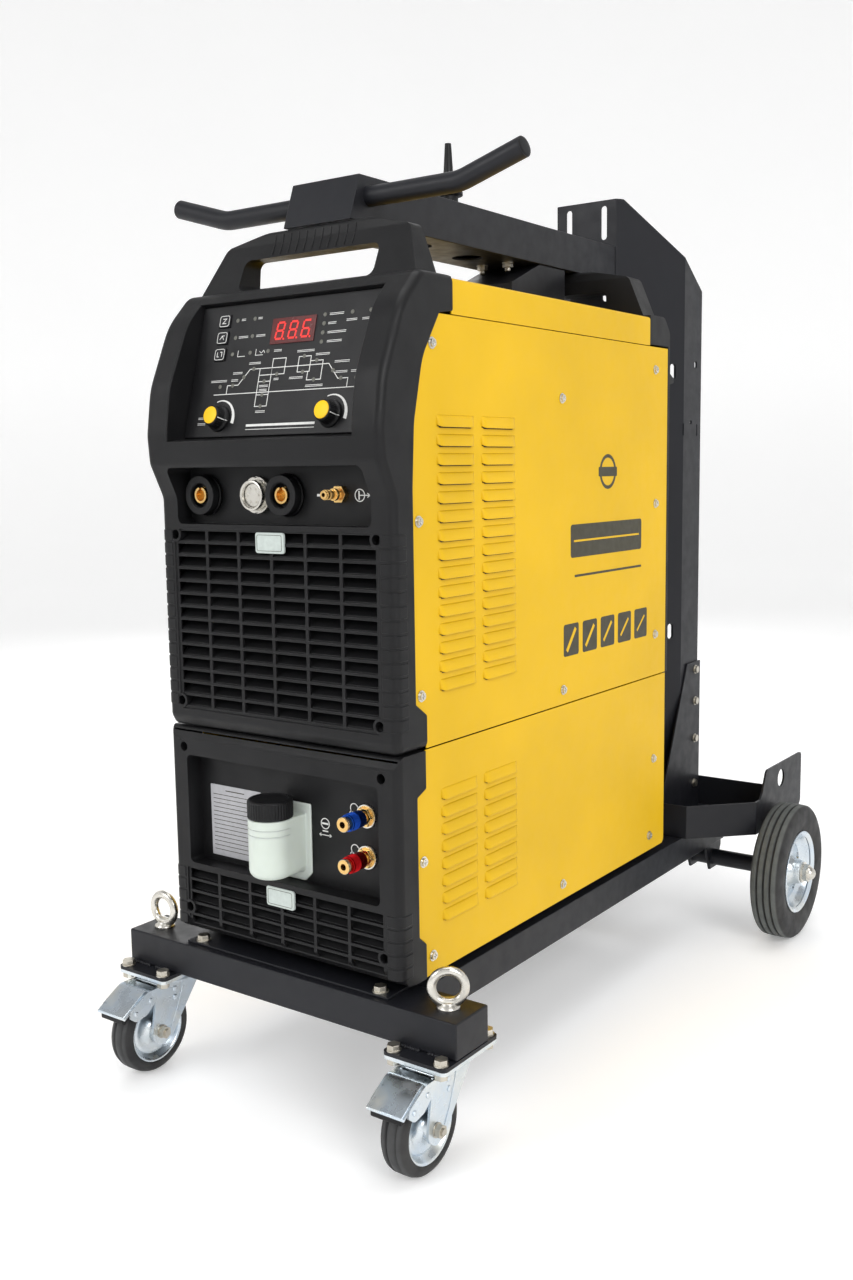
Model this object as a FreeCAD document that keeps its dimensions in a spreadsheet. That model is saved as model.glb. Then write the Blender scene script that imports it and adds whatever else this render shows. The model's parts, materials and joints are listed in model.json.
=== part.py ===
import FreeCAD, Part
import math
import os

import Sketcher

# A TIG welder: a power source stacked on a water cooler, both carried by a
# wheeled cart with a column, a top arm and a gas bottle tray.
# X runs to the machine's right seen from the front, Y runs to the rear, Z is up.
# Sizes are millimetres. Stations along Y are measured from the front edge of the
# side panels; every sub-part is then moved by y_shift, so that the origin is
# under the middle of the whole machine, on the floor.

DIMENSIONS = {
    # whole machine
    "y_shift": -412.0,
    "half_width": 166.0,
    "sheet": 1.5,
    "running_gap": 0.05,
    "side_gap": 0.4,
    # cart frame
    "tube_size": 40.0,
    "tube_wall": 3.0,
    "frame_bottom": 124.0,
    "cross_half_length": 243.0,
    "cross_front": -44.0,
    "cross_rear": 16.0,
    "rail_outer": 164.0,
    "rail_rear": 830.0,
    "rear_tube_front": 640.0,
    "rear_tube_rear": 690.0,
    "pan_thick": 3.0,
    "pan_half_width": 150.0,
    "pan_front": -36.0,
    "pan_rear": 604.0,
    # machine levels and stations
    "cooler_bottom": 176.0,
    "unit_seam": 426.2,
    "cover_seam": 878.4,
    "cover_top": 916.4,
    "bezel_top": 919.5,
    "panel_rear": 599.4,
    "cover_front": 74.2,
    "cover_rear": 544.2,
    "bezel_face": -34.0,
    "bezel_half_width": 168.0,
    # column
    "column_bottom": 167.0,
    "column_top": 1105.0,
    "column_front": 669.0,
    "column_sheet": 3.0,
    "web_half": 49.0,
    "wing_x": 109.5,
    "wing_y": 778.0,
    "flange_rear": 842.0,
    # top arm
    "arm_half": 48.0,
    "arm_bottom": 987.0,
    "arm_top": 1037.0,
    "arm_front_low": 55.0,
    "arm_front_high": 73.0,
    "arm_wall": 2.5,
    "bar_radius": 11.0,
    "bar_bore": 9.0,
    "bar_y": 90.0,
    "bar_z": 1015.0,
    "bar_straight": 168.0,
    "bar_reach": 246.0,
    "bar_rise": 23.0,
    "bar_bend": 60.0,
    "peg_y": 311.5,
    "peg_top": 1120.5,
    # casters
    "caster_x": 203.0,
    "caster_y": -14.5,
    "caster_axle_y": -54.0,
    "caster_wheel_r": 51.0,
    "caster_width": 32.0,
    "plate_thick": 4.0,
    "plate_x": 80.0,
    "plate_y": 100.0,
    "plate_hole_x": 60.0,
    "plate_hole_y": 84.0,
    # rear wheels
    "axle_y": 795.0,
    "wheel_r": 101.6,
    "wheel_x": 281.0,
    "wheel_width": 46.0,
    "axle_end_r": 10.0,
    "axle_tube_r": 12.5,
    # tray
    "tray_sheet": 3.0,
    "tray_bottom": 164.0,
    "tray_front": 666.0,
    "tray_rear": 856.0,
    "tray_half": 250.0,
    "tray_rim": 50.0,
    "ear_rear": 937.0,
    "ear_top": 255.0,
    "ear_hole_r": 14.0,
    # eyebolts
    "eye_x": 213.0,
    "eye_y": -14.0,
    "eye_centre": 22.5,
    "eye_ring_r": 17.5,
    "eye_wire_r": 5.0,
    "eye_turn": 35.0,
    # control panel, tilted back
    "control_y": -8.0,
    "control_z": 830.0,
    "control_tilt": -15.32,
    "control_width": 262.0,
    "control_height": 151.0,
    "control_thick": 2.0,
    "knob_x": 80.0,
    "knob_up": -55.0,
    "knob_skirt_r": 15.0,
    "knob_body_r": 12.0,
    "knob_reach": 15.0,
    "button_x": -94.0,
    "button_up": 57.0,
    "button_pitch": 19.2,
    "button_width": 16.0,
    "button_tall": 14.0,
    "button_reach": 2.0,
    "display_x": 10.0,
    "display_up": 40.0,
    "display_width": 62.0,
    "display_tall": 29.0,
    # sockets
    "recess_floor": -12.0,
    "socket_z": 693.0,
    "socket_left": -112.0,
    "socket_right": 10.0,
    "control_socket_x": -33.0,
    "gas_x": 84.0,
    "socket_r": 22.0,
    "socket_bore": 6.6,
    # cooler front
    "cooler_floor": -12.0,
    "tank_low": 275.0,
    "tank_top": 342.2,
    "tank_r": 25.0,
    "cap_x": -2.0,
    "cap_y": -44.0,
    "cap_r": 25.4,
    "cap_low": 342.6,
    "cap_high": 363.5,
    "neck_r": 19.0,
    "neck_top": 353.0,
    "coupler_x": 108.0,
    "coupler_high": 352.0,
    "coupler_low": 306.5,
    # rear of the power source
    "fan_z": 640.0,
    "switch_x": 95.0,
    "switch_z": 835.0,
    "gland_x": -132.0,
    "gland_z": 800.0,
}


class Term:
    """A size that remembers which spreadsheet cells it comes from."""

    def __init__(self, value, text):
        self.value = float(value)
        self.text = text

    def _with(self, other, sign, swapped=False):
        first, second = (other, self) if swapped else (self, other)
        a, b = number(first), number(second)
        results = {"+": a + b, "-": a - b, "*": a * b}
        value = results[sign] if sign in results else a / b
        return Term(value, f"({words(first)} {sign} {words(second)})")

    def __add__(self, other):
        return self._with(other, "+")

    def __radd__(self, other):
        return self._with(other, "+", True)

    def __sub__(self, other):
        return self._with(other, "-")

    def __rsub__(self, other):
        return self._with(other, "-", True)

    def __mul__(self, other):
        return self._with(other, "*")

    def __rmul__(self, other):
        return self._with(other, "*", True)

    def __truediv__(self, other):
        return self._with(other, "/")

    def __neg__(self):
        return Term(-self.value, f"(0 - {self.text})")


def number(size):
    return size.value if isinstance(size, Term) else float(size)


def words(size):
    return size.text if isinstance(size, Term) else repr(float(size))


class Cells:
    """The spreadsheet's cells, read as terms: cells.tube_size and so on."""

    def __init__(self, sizes):
        for alias, value in sizes.items():
            setattr(self, alias, Term(value, f"dims.{alias}"))


doc = FreeCAD.newDocument("tig_welder")
sheet = doc.addObject("Spreadsheet::Sheet", "dims")
for row, (alias, value) in enumerate(DIMENSIONS.items(), start=1):
    sheet.set(f"A{row}", alias)
    sheet.set(f"B{row}", str(value))
    sheet.setAlias(f"B{row}", alias)
doc.recompute()

d = Cells(DIMENSIONS)
nodes = {}


# ---------------------------------------------------------------- small helpers

def bind(obj, path, size):
    """Set a property by expression where the size comes from the sheet."""
    if isinstance(size, Term):
        obj.setExpression(path, size.text)


def base(obj, x=0, y=0, z=0, axis=None, angle=0):
    """Place an object, with its coordinates bound to the sheet."""
    spin = FreeCAD.Rotation(FreeCAD.Vector(*(axis or (0, 0, 1))), number(angle))
    place = FreeCAD.Vector(number(x), number(y), number(z))
    obj.Placement = FreeCAD.Placement(place, spin)
    bind(obj, "Placement.Base.x", x)
    bind(obj, "Placement.Base.y", y)
    bind(obj, "Placement.Base.z", z)
    bind(obj, "Placement.Rotation.Angle", angle)


def register(label, obj, x=0, y=0, z=0, axis=None, angle=0):
    """Name a finished sub-part and put it in the machine's frame."""
    obj.Label = label
    base(obj, x, y + d.y_shift, z, axis, angle)
    nodes[label] = obj
    return obj


def block(x0, x1, y0, y1, z0, z1):
    """A box between six planes."""
    box = doc.addObject("Part::Box", "block")
    for side, low, high in (("Length", x0, x1), ("Width", y0, y1), ("Height", z0, z1)):
        setattr(box, side, number(high) - number(low))
        bind(box, side, high - low)
    base(box, x0, y0, z0)
    return box


AXIS_TURNS = {"x": ((0, 1, 0), 90), "y": ((1, 0, 0), -90), "z": ((0, 0, 1), 0)}


def rod(axis, radius, start, x=0, y=0, z=0, length=10):
    """A cylinder along x, y or z; start is its low coordinate on that axis."""
    cylinder = doc.addObject("Part::Cylinder", "rod")
    cylinder.Radius = number(radius)
    cylinder.Height = number(length)
    bind(cylinder, "Radius", radius)
    bind(cylinder, "Height", length)
    spot = {"x": x, "y": y, "z": z}
    spot[axis] = start
    turn, angle = AXIS_TURNS[axis]
    base(cylinder, spot["x"], spot["y"], spot["z"], turn, angle)
    return cylinder


def cone(low_r, high_r, length, x, y, z):
    """An upright cone frustum."""
    shape = doc.addObject("Part::Cone", "cone")
    shape.Radius1 = number(low_r)
    shape.Radius2 = number(high_r)
    shape.Height = number(length)
    base(shape, x, y, z)
    return shape


def ring(big, small, x, y, z, axis=(1, 0, 0), angle=90):
    """A torus; without a turn it lies flat."""
    torus = doc.addObject("Part::Torus", "ring")
    torus.Radius1 = number(big)
    torus.Radius2 = number(small)
    bind(torus, "Radius1", big)
    bind(torus, "Radius2", small)
    base(torus, x, y, z, axis, angle)
    return torus


def fuse(*shapes):
    union = doc.addObject("Part::MultiFuse", "union")
    union.Shapes = list(shapes)
    union.Refine = True
    return union


def cut(solid, *tools):
    tool = tools[0] if len(tools) == 1 else fuse(*tools)
    result = doc.addObject("Part::Cut", "cut")
    result.Base = solid
    result.Tool = tool
    result.Refine = True
    return result


def group(*shapes):
    """Separate solids that share one node."""
    compound = doc.addObject("Part::Compound", "group")
    compound.Links = list(shapes)
    return compound


def soften(obj, radius, chooser):
    """Round the edges that the chooser picks."""
    doc.recompute()
    picked = [i for i, edge in enumerate(obj.Shape.Edges, start=1) if chooser(edge)]
    rounded = doc.addObject("Part::Fillet", "rounded")
    rounded.Base = obj
    rounded.Edges = [(i, radius, radius) for i in picked]
    return rounded


def new_body(name):
    return doc.addObject("PartDesign::Body", name)


def rounded_outline(points):
    """Corner points (u, v) or (u, v, radius) as line and arc geometry."""
    count = len(points)
    starts, ends, arcs = [], [], []
    for i, point in enumerate(points):
        here = FreeCAD.Vector(number(point[0]), number(point[1]), 0)
        radius = point[2] if len(point) > 2 else 0
        if not radius:
            starts.append(here)
            ends.append(here)
            arcs.append(None)
            continue
        before = points[i - 1]
        after = points[(i + 1) % count]
        back = FreeCAD.Vector(number(before[0]), number(before[1]), 0) - here
        ahead = FreeCAD.Vector(number(after[0]), number(after[1]), 0) - here
        back.normalize()
        ahead.normalize()
        half = back.getAngle(ahead) / 2
        reach = radius / math.tan(half)
        middle = back + ahead
        middle.normalize()
        bulge = here + middle * (radius / math.sin(half) - radius)
        starts.append(here + back * reach)
        ends.append(here + ahead * reach)
        arcs.append(bulge)
    edges = []
    for i in range(count):
        if arcs[i] is not None:
            edges.append(Part.Arc(starts[i], arcs[i], ends[i]))
        follow = (i + 1) % count
        if (starts[follow] - ends[i]).Length > 1e-6:
            edges.append(Part.LineSegment(ends[i], starts[follow]))
    return edges


def pin_vertex(sketch, index, u, v):
    """Tie the start of one line to its coordinates, bound to the sheet."""
    for size, kind, across in ((u, "DistanceX", -2), (v, "DistanceY", -1)):
        if abs(number(size)) < 1e-9:
            sketch.addConstraint(Sketcher.Constraint("PointOnObject", index, 1, across))
            continue
        datum = Sketcher.Constraint(kind, -1, 1, index, 1, number(size))
        place = sketch.addConstraint(datum)
        if isinstance(size, Term):
            sketch.setExpression(f"Constraints[{place}]", size.text)


def add_outline(sketch, points):
    """Draw one closed outline; a sharp-cornered one is pinned vertex by vertex."""
    if any(len(point) > 2 and point[2] for point in points):
        first = sketch.GeometryCount
        for edge in rounded_outline(points):
            sketch.addGeometry(edge, False)
        for index in range(first, sketch.GeometryCount):
            sketch.addConstraint(Sketcher.Constraint("Block", index))
        return
    first = sketch.GeometryCount
    count = len(points)
    corners = [FreeCAD.Vector(number(p[0]), number(p[1]), 0) for p in points]
    for i in range(count):
        sketch.addGeometry(Part.LineSegment(corners[i], corners[(i + 1) % count]), False)
    for i in range(count):
        follow = first + (i + 1) % count
        sketch.addConstraint(Sketcher.Constraint("Coincident", first + i, 2, follow, 1))
    for i, point in enumerate(points):
        pin_vertex(sketch, first + i, point[0], point[1])


def add_circle(sketch, u, v, radius):
    centre = FreeCAD.Vector(number(u), number(v), 0)
    normal = FreeCAD.Vector(0, 0, 1)
    index = sketch.addGeometry(Part.Circle(centre, normal, number(radius)), False)
    for size, kind, across in ((u, "DistanceX", -2), (v, "DistanceY", -1)):
        if abs(number(size)) < 1e-9:
            sketch.addConstraint(Sketcher.Constraint("PointOnObject", index, 3, across))
            continue
        datum = Sketcher.Constraint(kind, -1, 1, index, 3, number(size))
        place = sketch.addConstraint(datum)
        if isinstance(size, Term):
            sketch.setExpression(f"Constraints[{place}]", size.text)
    place = sketch.addConstraint(Sketcher.Constraint("Radius", index, number(radius)))
    if isinstance(radius, Term):
        sketch.setExpression(f"Constraints[{place}]", radius.text)


def sketch_on(body, plane, outlines, circles=(), offset=0):
    """A sketch on one of the body's own origin planes, moved along its normal."""
    sketch = body.newObject("Sketcher::SketchObject", "outline")
    role = f"{plane}_Plane"
    support = [f for f in body.Origin.OriginFeatures if f.Role == role][0]
    sketch.AttachmentSupport = [(support, "")]
    sketch.MapMode = "FlatFace"
    shift = FreeCAD.Placement(FreeCAD.Vector(0, 0, number(offset)), FreeCAD.Rotation())
    sketch.AttachmentOffset = shift
    bind(sketch, "AttachmentOffset.Base.z", offset)
    for points in outlines:
        add_outline(sketch, points)
    for u, v, radius in circles:
        add_circle(sketch, u, v, radius)
    return sketch


def pad(body, plane, low, high, outlines=(), circles=()):
    """Add material between two stations along the plane's world axis."""
    offset = -high if plane == "XZ" else low
    sketch = sketch_on(body, plane, outlines, circles, offset)
    feature = body.newObject("PartDesign::Pad", "pad")
    feature.Profile = sketch
    feature.Length = number(high) - number(low)
    bind(feature, "Length", high - low)
    return feature


def pocket(body, plane, low, high, outlines=(), circles=()):
    """Take material away between two stations; it must really remove some."""
    doc.recompute()
    before = body.Shape.Volume
    offset = -low if plane == "XZ" else high
    sketch = sketch_on(body, plane, outlines, circles, offset)
    feature = body.newObject("PartDesign::Pocket", "pocket")
    feature.Profile = sketch
    feature.Length = number(high) - number(low)
    bind(feature, "Length", high - low)
    doc.recompute()
    if body.Shape.Volume > before - 1e-3:
        raise RuntimeError(f"{body.Name}: a pocket on {plane} removed nothing")
    return feature


def repeat(body, feature, direction, count, length):
    """Repeat a feature along one of the body's own axes, over a total length."""
    pattern = body.newObject("PartDesign::LinearPattern", "pattern")
    pattern.Originals = [feature]
    role = f"{direction.strip('-')}_Axis"
    axis = [f for f in body.Origin.OriginFeatures if f.Role == role][0]
    pattern.Direction = (axis, [""])
    pattern.Reversed = direction.startswith("-")
    pattern.Length = number(length)
    bind(pattern, "Length", length)
    pattern.Occurrences = count
    body.Tip = pattern
    doc.recompute()
    return pattern


def spin(body, points):
    """Revolve an outline of (x along the axis, radius) about the body's X axis."""
    sketch = sketch_on(body, "XZ", [points])
    feature = body.newObject("PartDesign::Revolution", "turned")
    feature.Profile = sketch
    axis = [f for f in body.Origin.OriginFeatures if f.Role == "X_Axis"][0]
    feature.ReferenceAxis = (axis, [""])
    feature.Angle = 360
    return feature


def rectangle(u0, u1, v0, v1, radius=0):
    if radius:
        return [(u0, v0, radius), (u1, v0, radius), (u1, v1, radius), (u0, v1, radius)]
    return [(u0, v0), (u1, v0), (u1, v1), (u0, v1)]


def mirrored(points):
    """The same outline on the other side of u = 0."""
    return [(-p[0], *p[1:]) for p in reversed(points)]


def hexagon(axis, across, start, length, x, y, z):
    """A hexagonal bolt head or nut along x, y or z."""
    prism = doc.addObject("Part::Prism", "hexagon")
    prism.Polygon = 6
    prism.Circumradius = across / math.sqrt(3)
    prism.Height = length
    spot = {"x": x, "y": y, "z": z}
    spot[axis] = start
    turn, angle = AXIS_TURNS[axis]
    base(prism, spot["x"], spot["y"], spot["z"], turn, angle)
    return prism


# ---------------------------------------------------------------- cart frame

frame_top = d.frame_bottom + d.tube_size
inner_wall = d.tube_wall
cross_y = (d.cross_front + d.cross_rear) / 2


def front_cross_tube():
    """Capped box tube with two drain holes in its floor."""
    outside = block(-d.cross_half_length, d.cross_half_length, d.cross_front,
                    d.cross_rear, d.frame_bottom, frame_top)
    inside = block(-d.cross_half_length + inner_wall, d.cross_half_length - inner_wall,
                   d.cross_front + inner_wall, d.cross_rear - inner_wall,
                   d.frame_bottom + inner_wall, frame_top - inner_wall)
    drains = [rod("z", 5, d.frame_bottom - 1, x=x, y=cross_y, length=5)
              for x in (-120, 120)]
    register("front_cross_tube", cut(outside, inside, *drains))


def side_rails():
    """Two square tubes from the front cross tube to the rear."""
    rails = []
    for side in (-1, 1):
        low = side * d.rail_outer if side < 0 else d.rail_outer - d.tube_size
        outside = block(low, low + d.tube_size, d.cross_rear, d.rail_rear,
                        d.frame_bottom, frame_top)
        inside = block(low + inner_wall, low + d.tube_size - inner_wall,
                       d.cross_rear - 1, d.rail_rear + 1,
                       d.frame_bottom + inner_wall, frame_top - inner_wall)
        rails.append(cut(outside, inside))
    register("side_rails", group(*rails))


def rear_cross_tube():
    """Square tube between the rails, under the column."""
    half = d.rail_outer - d.tube_size
    outside = block(-half, half, d.rear_tube_front, d.rear_tube_rear,
                    d.frame_bottom, frame_top)
    inside = block(-half - 1, half + 1, d.rear_tube_front + inner_wall,
                   d.rear_tube_rear - inner_wall, d.frame_bottom + inner_wall,
                   frame_top - inner_wall)
    register("rear_cross_tube", cut(outside, inside))


def base_pan():
    """Folded sheet under the cooler, with a raised lip on both sides."""
    body = new_body("base_pan")
    lip = 9
    high = frame_top + d.pan_thick
    outline = [(-d.pan_half_width, frame_top), (d.pan_half_width, frame_top),
               (d.pan_half_width, high + lip), (d.pan_half_width - d.pan_thick, high + lip),
               (d.pan_half_width - d.pan_thick, high), (-d.pan_half_width + d.pan_thick, high),
               (-d.pan_half_width + d.pan_thick, high + lip), (-d.pan_half_width, high + lip)]
    pad(body, "XZ", d.pan_front, d.pan_rear, [outline])
    pocket(body, "XZ", d.pan_front, 14, [rectangle(-160, 160, high, high + 20)])
    register("base_pan", body)


def drilled_plate(x, low):
    """Round-cornered plate between two levels, with a hole near each corner."""
    plate = block(x - d.plate_x / 2, x + d.plate_x / 2, d.caster_y - d.plate_y / 2,
                  d.caster_y + d.plate_y / 2, low, low + d.plate_thick)
    upright = soften(plate, 6, lambda e: abs(e.tangentAt(0).z) > 0.99)
    holes = [rod("z", 4.5, low - 5, x=x + i * d.plate_hole_x / 2,
                 y=d.caster_y + j * d.plate_hole_y / 2, length=15)
             for i in (-1, 1) for j in (-1, 1)]
    return cut(upright, *holes)


def caster_mount_plates():
    """Plates welded under the ends of the cross tube."""
    plates = [drilled_plate(side * d.caster_x, d.frame_bottom - d.plate_thick)
              for side in (-1, 1)]
    register("caster_mount_plates", group(*plates))


def eyebolt(side, turn):
    """Forged lifting eye with a collar and a shank."""
    eye = ring(d.eye_ring_r, d.eye_wire_r, 0, 0, d.eye_centre)
    collar = cone(12.5, 9, 7, 0, 0, 0)
    bolt = fuse(eye, collar)
    name = "right" if side > 0 else "left"
    register(f"eyebolt_{name}", bolt, side * d.eye_x, d.eye_y, frame_top,
             (0, 0, 1), turn)


def hex_bolts():
    """M8 bolts: four at each caster, two through the pan, two under the arm."""
    bolts = []
    low = d.frame_bottom - 2 * d.plate_thick
    for side in (-1, 1):
        for i in (-1, 1):
            for j in (-1, 1):
                x = side * d.caster_x + i * d.plate_hole_x / 2
                y = d.caster_y + j * d.plate_hole_y / 2
                washer = rod("z", 8, d.frame_bottom, x=x, y=y, length=1.6)
                head = hexagon("z", 13, d.frame_bottom + 1.6, 5.3, x, y, 0)
                shank = rod("z", 4, low - 7, x=x, y=y, length=17)
                nut = hexagon("z", 13, low - 6.5, 6.5, x, y, 0)
                bolts.append(fuse(washer, head, shank, nut))
        x = side * 133.0
        pan_high = frame_top + d.pan_thick
        washer = rod("z", 9, pan_high, x=x, y=-26, length=1.6)
        head = hexagon("z", 13, pan_high + 1.6, 5.3, x, -26, 0)
        bolts.append(fuse(washer, head))
        x = side * 21.5
        low_face = d.arm_bottom - 3
        washer = rod("z", 8, low_face - 1.6, x=x, y=485, length=1.6)
        head = hexagon("z", 13, low_face - 6.9, 5.3, x, 485, 0)
        bolts.append(fuse(washer, head))
    return bolts


# ---------------------------------------------------------------- column and arm

def column():
    """Folded sheet: a narrow web, two splayed wings and two side flanges."""
    body = new_body("column")
    skin = d.column_sheet
    y_web = d.column_front
    run_x = number(d.wing_x - d.web_half)
    run_y = number(d.wing_y - d.column_front)
    run = math.hypot(run_x, run_y)
    # the inner skin stays one sheet thickness from the outer one round both folds
    web_cut = DIMENSIONS["column_sheet"] * (run - run_x) / run_y
    flange_cut = DIMENSIONS["column_sheet"] * (run - run_y) / run_x
    right = [(d.web_half, y_web), (d.wing_x, d.wing_y), (d.wing_x, d.flange_rear),
             (d.wing_x - skin, d.flange_rear), (d.wing_x - skin, d.wing_y + flange_cut),
             (d.web_half - web_cut, y_web + skin)]
    pad(body, "XY", d.column_bottom, d.column_top, [right + mirrored(right)])
    slant = [(680, d.column_top + 1), (d.wing_y, 1029), (d.flange_rear + 1, 984),
             (d.flange_rear + 1, d.column_top + 1)]
    pocket(body, "YZ", -120, 120, [slant])
    slots = []
    for x in (-29, 29):
        slots.append(rectangle(x - 5, x + 5, 1048.5, 1097, 4.9))
        slots.append(rectangle(x - 2, x + 8, 960, 973, 4.9) if x > 0
                     else rectangle(x - 8, x + 2, 960, 973, 4.9))
    pocket(body, "XZ", y_web - 1, y_web + 5, slots)
    wing_slots = [rectangle(755.5, 764.5, z, z + 24, 4.4) for z in (847, 450)]
    wing_slots.append(rectangle(776.5, 779.5, 763, 782, 1.4))
    flange_slots = [rectangle(816, 825, 866, 878, 4.4), rectangle(826, 829, 763, 782, 1.4)]
    pocket(body, "YZ", -120, 120, wing_slots + flange_slots, [(805, 784, 3.5)])
    register("column", body)


def column_gussets():
    """Tapered plates bolted outside the column's flanges."""
    bodies = []
    top, low = 406.5, 218.0
    profile = [(797, top), (846, top), (846, d.column_bottom), (708, d.column_bottom),
               (714, low)]
    for side in (-1, 1):
        body = new_body("gusset")
        near = d.wing_x if side > 0 else -(d.wing_x + 3)
        pad(body, "YZ", near, near + 3, [profile])
        bodies.append(body)
    register("column_gussets", group(*bodies))


def gusset_bolts():
    """Button-head bolts through the gussets and the column's flanges."""
    bolts = []
    for side in (-1, 1):
        for z in (394, 343, 282, 208):
            face = number(d.wing_x) + 3
            washer = rod("x", 7, face if side > 0 else -face - 1, y=827, z=z, length=1)
            start = face + 1 if side > 0 else -face - 4.5
            head = rod("x", 5.5, start, y=827, z=z, length=3.5)
            nut_start = face - 12 if side > 0 else -face + 6
            nut = hexagon("x", 10, nut_start, 6, 0, 827, z)
            bolts.append(group(fuse(washer, head), nut))
    return bolts


def bottle_tray():
    """Gas bottle shelf: floor, front, diagonal and rear rims, two side ears."""
    skin = d.tray_sheet
    low = d.tray_bottom
    top = low + d.tray_rim
    half, front, rear = d.tray_half, d.tray_front, d.tray_rear
    corner_x, corner_y = 172.0, 744.0
    floor = new_body("tray_floor")
    pad(floor, "XY", low, low + skin, [[(-corner_x, front), (corner_x, front),
                                        (half, corner_y), (half, rear),
                                        (-half, rear), (-half, corner_y)]])
    parts = [floor]
    for side in (-1, 1):
        rim = new_body("front_rim")
        edge = [(116.0, front), (corner_x, front), (half, corner_y),
                (half - skin, corner_y + 1.25), (corner_x - 1.2, front + skin),
                (116.0, front + skin)]
        pad(rim, "XY", low, top, [edge if side > 0 else mirrored(edge)])
        parts.append(rim)
        ear = new_body("ear")
        profile = [(corner_y, low), (rear, low), (d.ear_rear, low + 4, 12),
                   (d.ear_rear, d.ear_top, 7), (785, d.ear_top, 10), (769, top + 9, 12),
                   (760, top, 6), (corner_y, top)]
        near = half - skin if side > 0 else -half
        pad(ear, "YZ", near, near + skin, [profile])
        pocket(ear, "YZ", -260, 260, circles=[(846.6, 230.5, d.ear_hole_r)])
        parts.append(ear)
    parts.append(block(-half, half, rear - skin, rear, low, top))
    register("bottle_tray", fuse(*parts))


def top_arm():
    """Box tube from the column to the handlebar, its front end slanted."""
    body = new_body("top_arm")
    low, top, wall = d.arm_bottom, d.arm_top, d.arm_wall
    side_view = [(d.arm_front_low, low), (d.column_front, low), (d.column_front, top),
                 (d.arm_front_high, top)]
    pad(body, "YZ", -d.arm_half, d.arm_half, [side_view])
    cavity = [(d.arm_front_low + wall + 1, low + wall), (d.column_front + 1, low + wall),
              (d.column_front + 1, top - wall), (d.arm_front_high + wall - 1, top - wall)]
    pocket(body, "YZ", -d.arm_half + wall, d.arm_half - wall, [cavity])
    pocket(body, "XY", low - 1, low + wall + 1, circles=[(0, 240, 20), (0, 352, 20)])
    pocket(body, "YZ", -d.arm_half - 1, d.arm_half + 1,
           circles=[(d.bar_y, d.bar_z, d.bar_radius)])
    register("top_arm", body)


def handlebar():
    """Bent tube through the arm, its ends swept upwards."""
    ends = math.atan2(number(d.bar_rise), number(d.bar_reach - d.bar_straight))
    reach = number(d.bar_bend) * math.tan(ends / 2)
    start, flat = number(d.bar_straight), number(d.bar_z)
    tip = FreeCAD.Vector(number(d.bar_reach), flat + number(d.bar_rise), 0)
    bend_in = FreeCAD.Vector(start - reach, flat, 0)
    bend_out = FreeCAD.Vector(start + reach * math.cos(ends), flat + reach * math.sin(ends), 0)
    centre = FreeCAD.Vector(start - reach, flat + number(d.bar_bend), 0)
    turn = FreeCAD.Vector(math.sin(ends / 2), -math.cos(ends / 2), 0)
    middle = centre + turn * number(d.bar_bend)

    def across(point):
        return FreeCAD.Vector(-point.x, point.y, 0)

    body = new_body("handlebar")
    spine = sketch_on(body, "XZ", [], offset=-d.bar_y)
    for edge in (Part.LineSegment(across(tip), across(bend_out)),
                 Part.Arc(across(bend_out), across(middle), across(bend_in)),
                 Part.LineSegment(across(bend_in), bend_in),
                 Part.Arc(bend_in, middle, bend_out),
                 Part.LineSegment(bend_out, tip)):
        index = spine.addGeometry(edge, False)
        spine.addConstraint(Sketcher.Constraint("Block", index))
    section = body.newObject("Sketcher::SketchObject", "section")
    section.AttachmentSupport = [(spine, "Edge1")]
    section.MapMode = "NormalToEdge"
    section.MapPathParameter = 0
    add_circle(section, 0, 0, d.bar_radius)
    add_circle(section, 0, 0, d.bar_bore)
    doc.recompute()
    pipe = body.newObject("PartDesign::AdditivePipe", "pipe")
    pipe.Profile = section
    pipe.Spine = (spine, [f"Edge{i}" for i in range(1, 6)])
    register("handlebar", body)


def cable_peg():
    """Tapered post on a collar, on top of the arm."""
    boss = rod("z", 12, d.arm_top, y=d.peg_y, length=20)
    collar = rod("z", 18, d.arm_top + 20, y=d.peg_y, length=5)
    post = cone(7.5, 4, d.peg_top - d.arm_top - 25, 0, d.peg_y, d.arm_top + 25)
    register("cable_peg", fuse(boss, collar, post))


def arm_bracket():
    """Folded saddle under the arm that steadies the machine's lid."""
    body = new_body("arm_bracket")
    low, top, skin = 921.0, d.arm_bottom, 3
    side_view = [(388, low), (526, low), (526, top), (458, top), (388, 957)]
    pad(body, "YZ", -45, 45, [side_view])
    hollow = [(388 + skin, low + skin), (527, low + skin), (527, top - skin),
              (458 + 1, top - skin), (388 + skin, 957 - 2)]
    pocket(body, "YZ", -45 + skin, 45 - skin, [hollow])
    register("arm_bracket", body)


# ---------------------------------------------------------------- casters

head_low = d.frame_bottom - 2 * d.plate_thick


def caster_plates():
    """Head plates bolted under the frame, each with its kingpin."""
    plates = []
    for side in (-1, 1):
        x = side * d.caster_x
        drilled = drilled_plate(x, head_low)
        race = rod("z", 26, head_low - 3.5, x=x, y=d.caster_y, length=3.5)
        pin = rod("z", 6, 97, x=x, y=d.caster_y, length=head_low - 97)
        nut = hexagon("z", 17, 97, 6, x, d.caster_y, 0)
        plates.append(fuse(drilled, race, pin, nut))
    register("caster_plates", group(*plates))


fork_top = number(head_low) - 3.9
fork_low = 104.5
fork_inner = 18.5
fork_skin = 3.0
pin_y = -36.5
pin_z = 106.0


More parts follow.
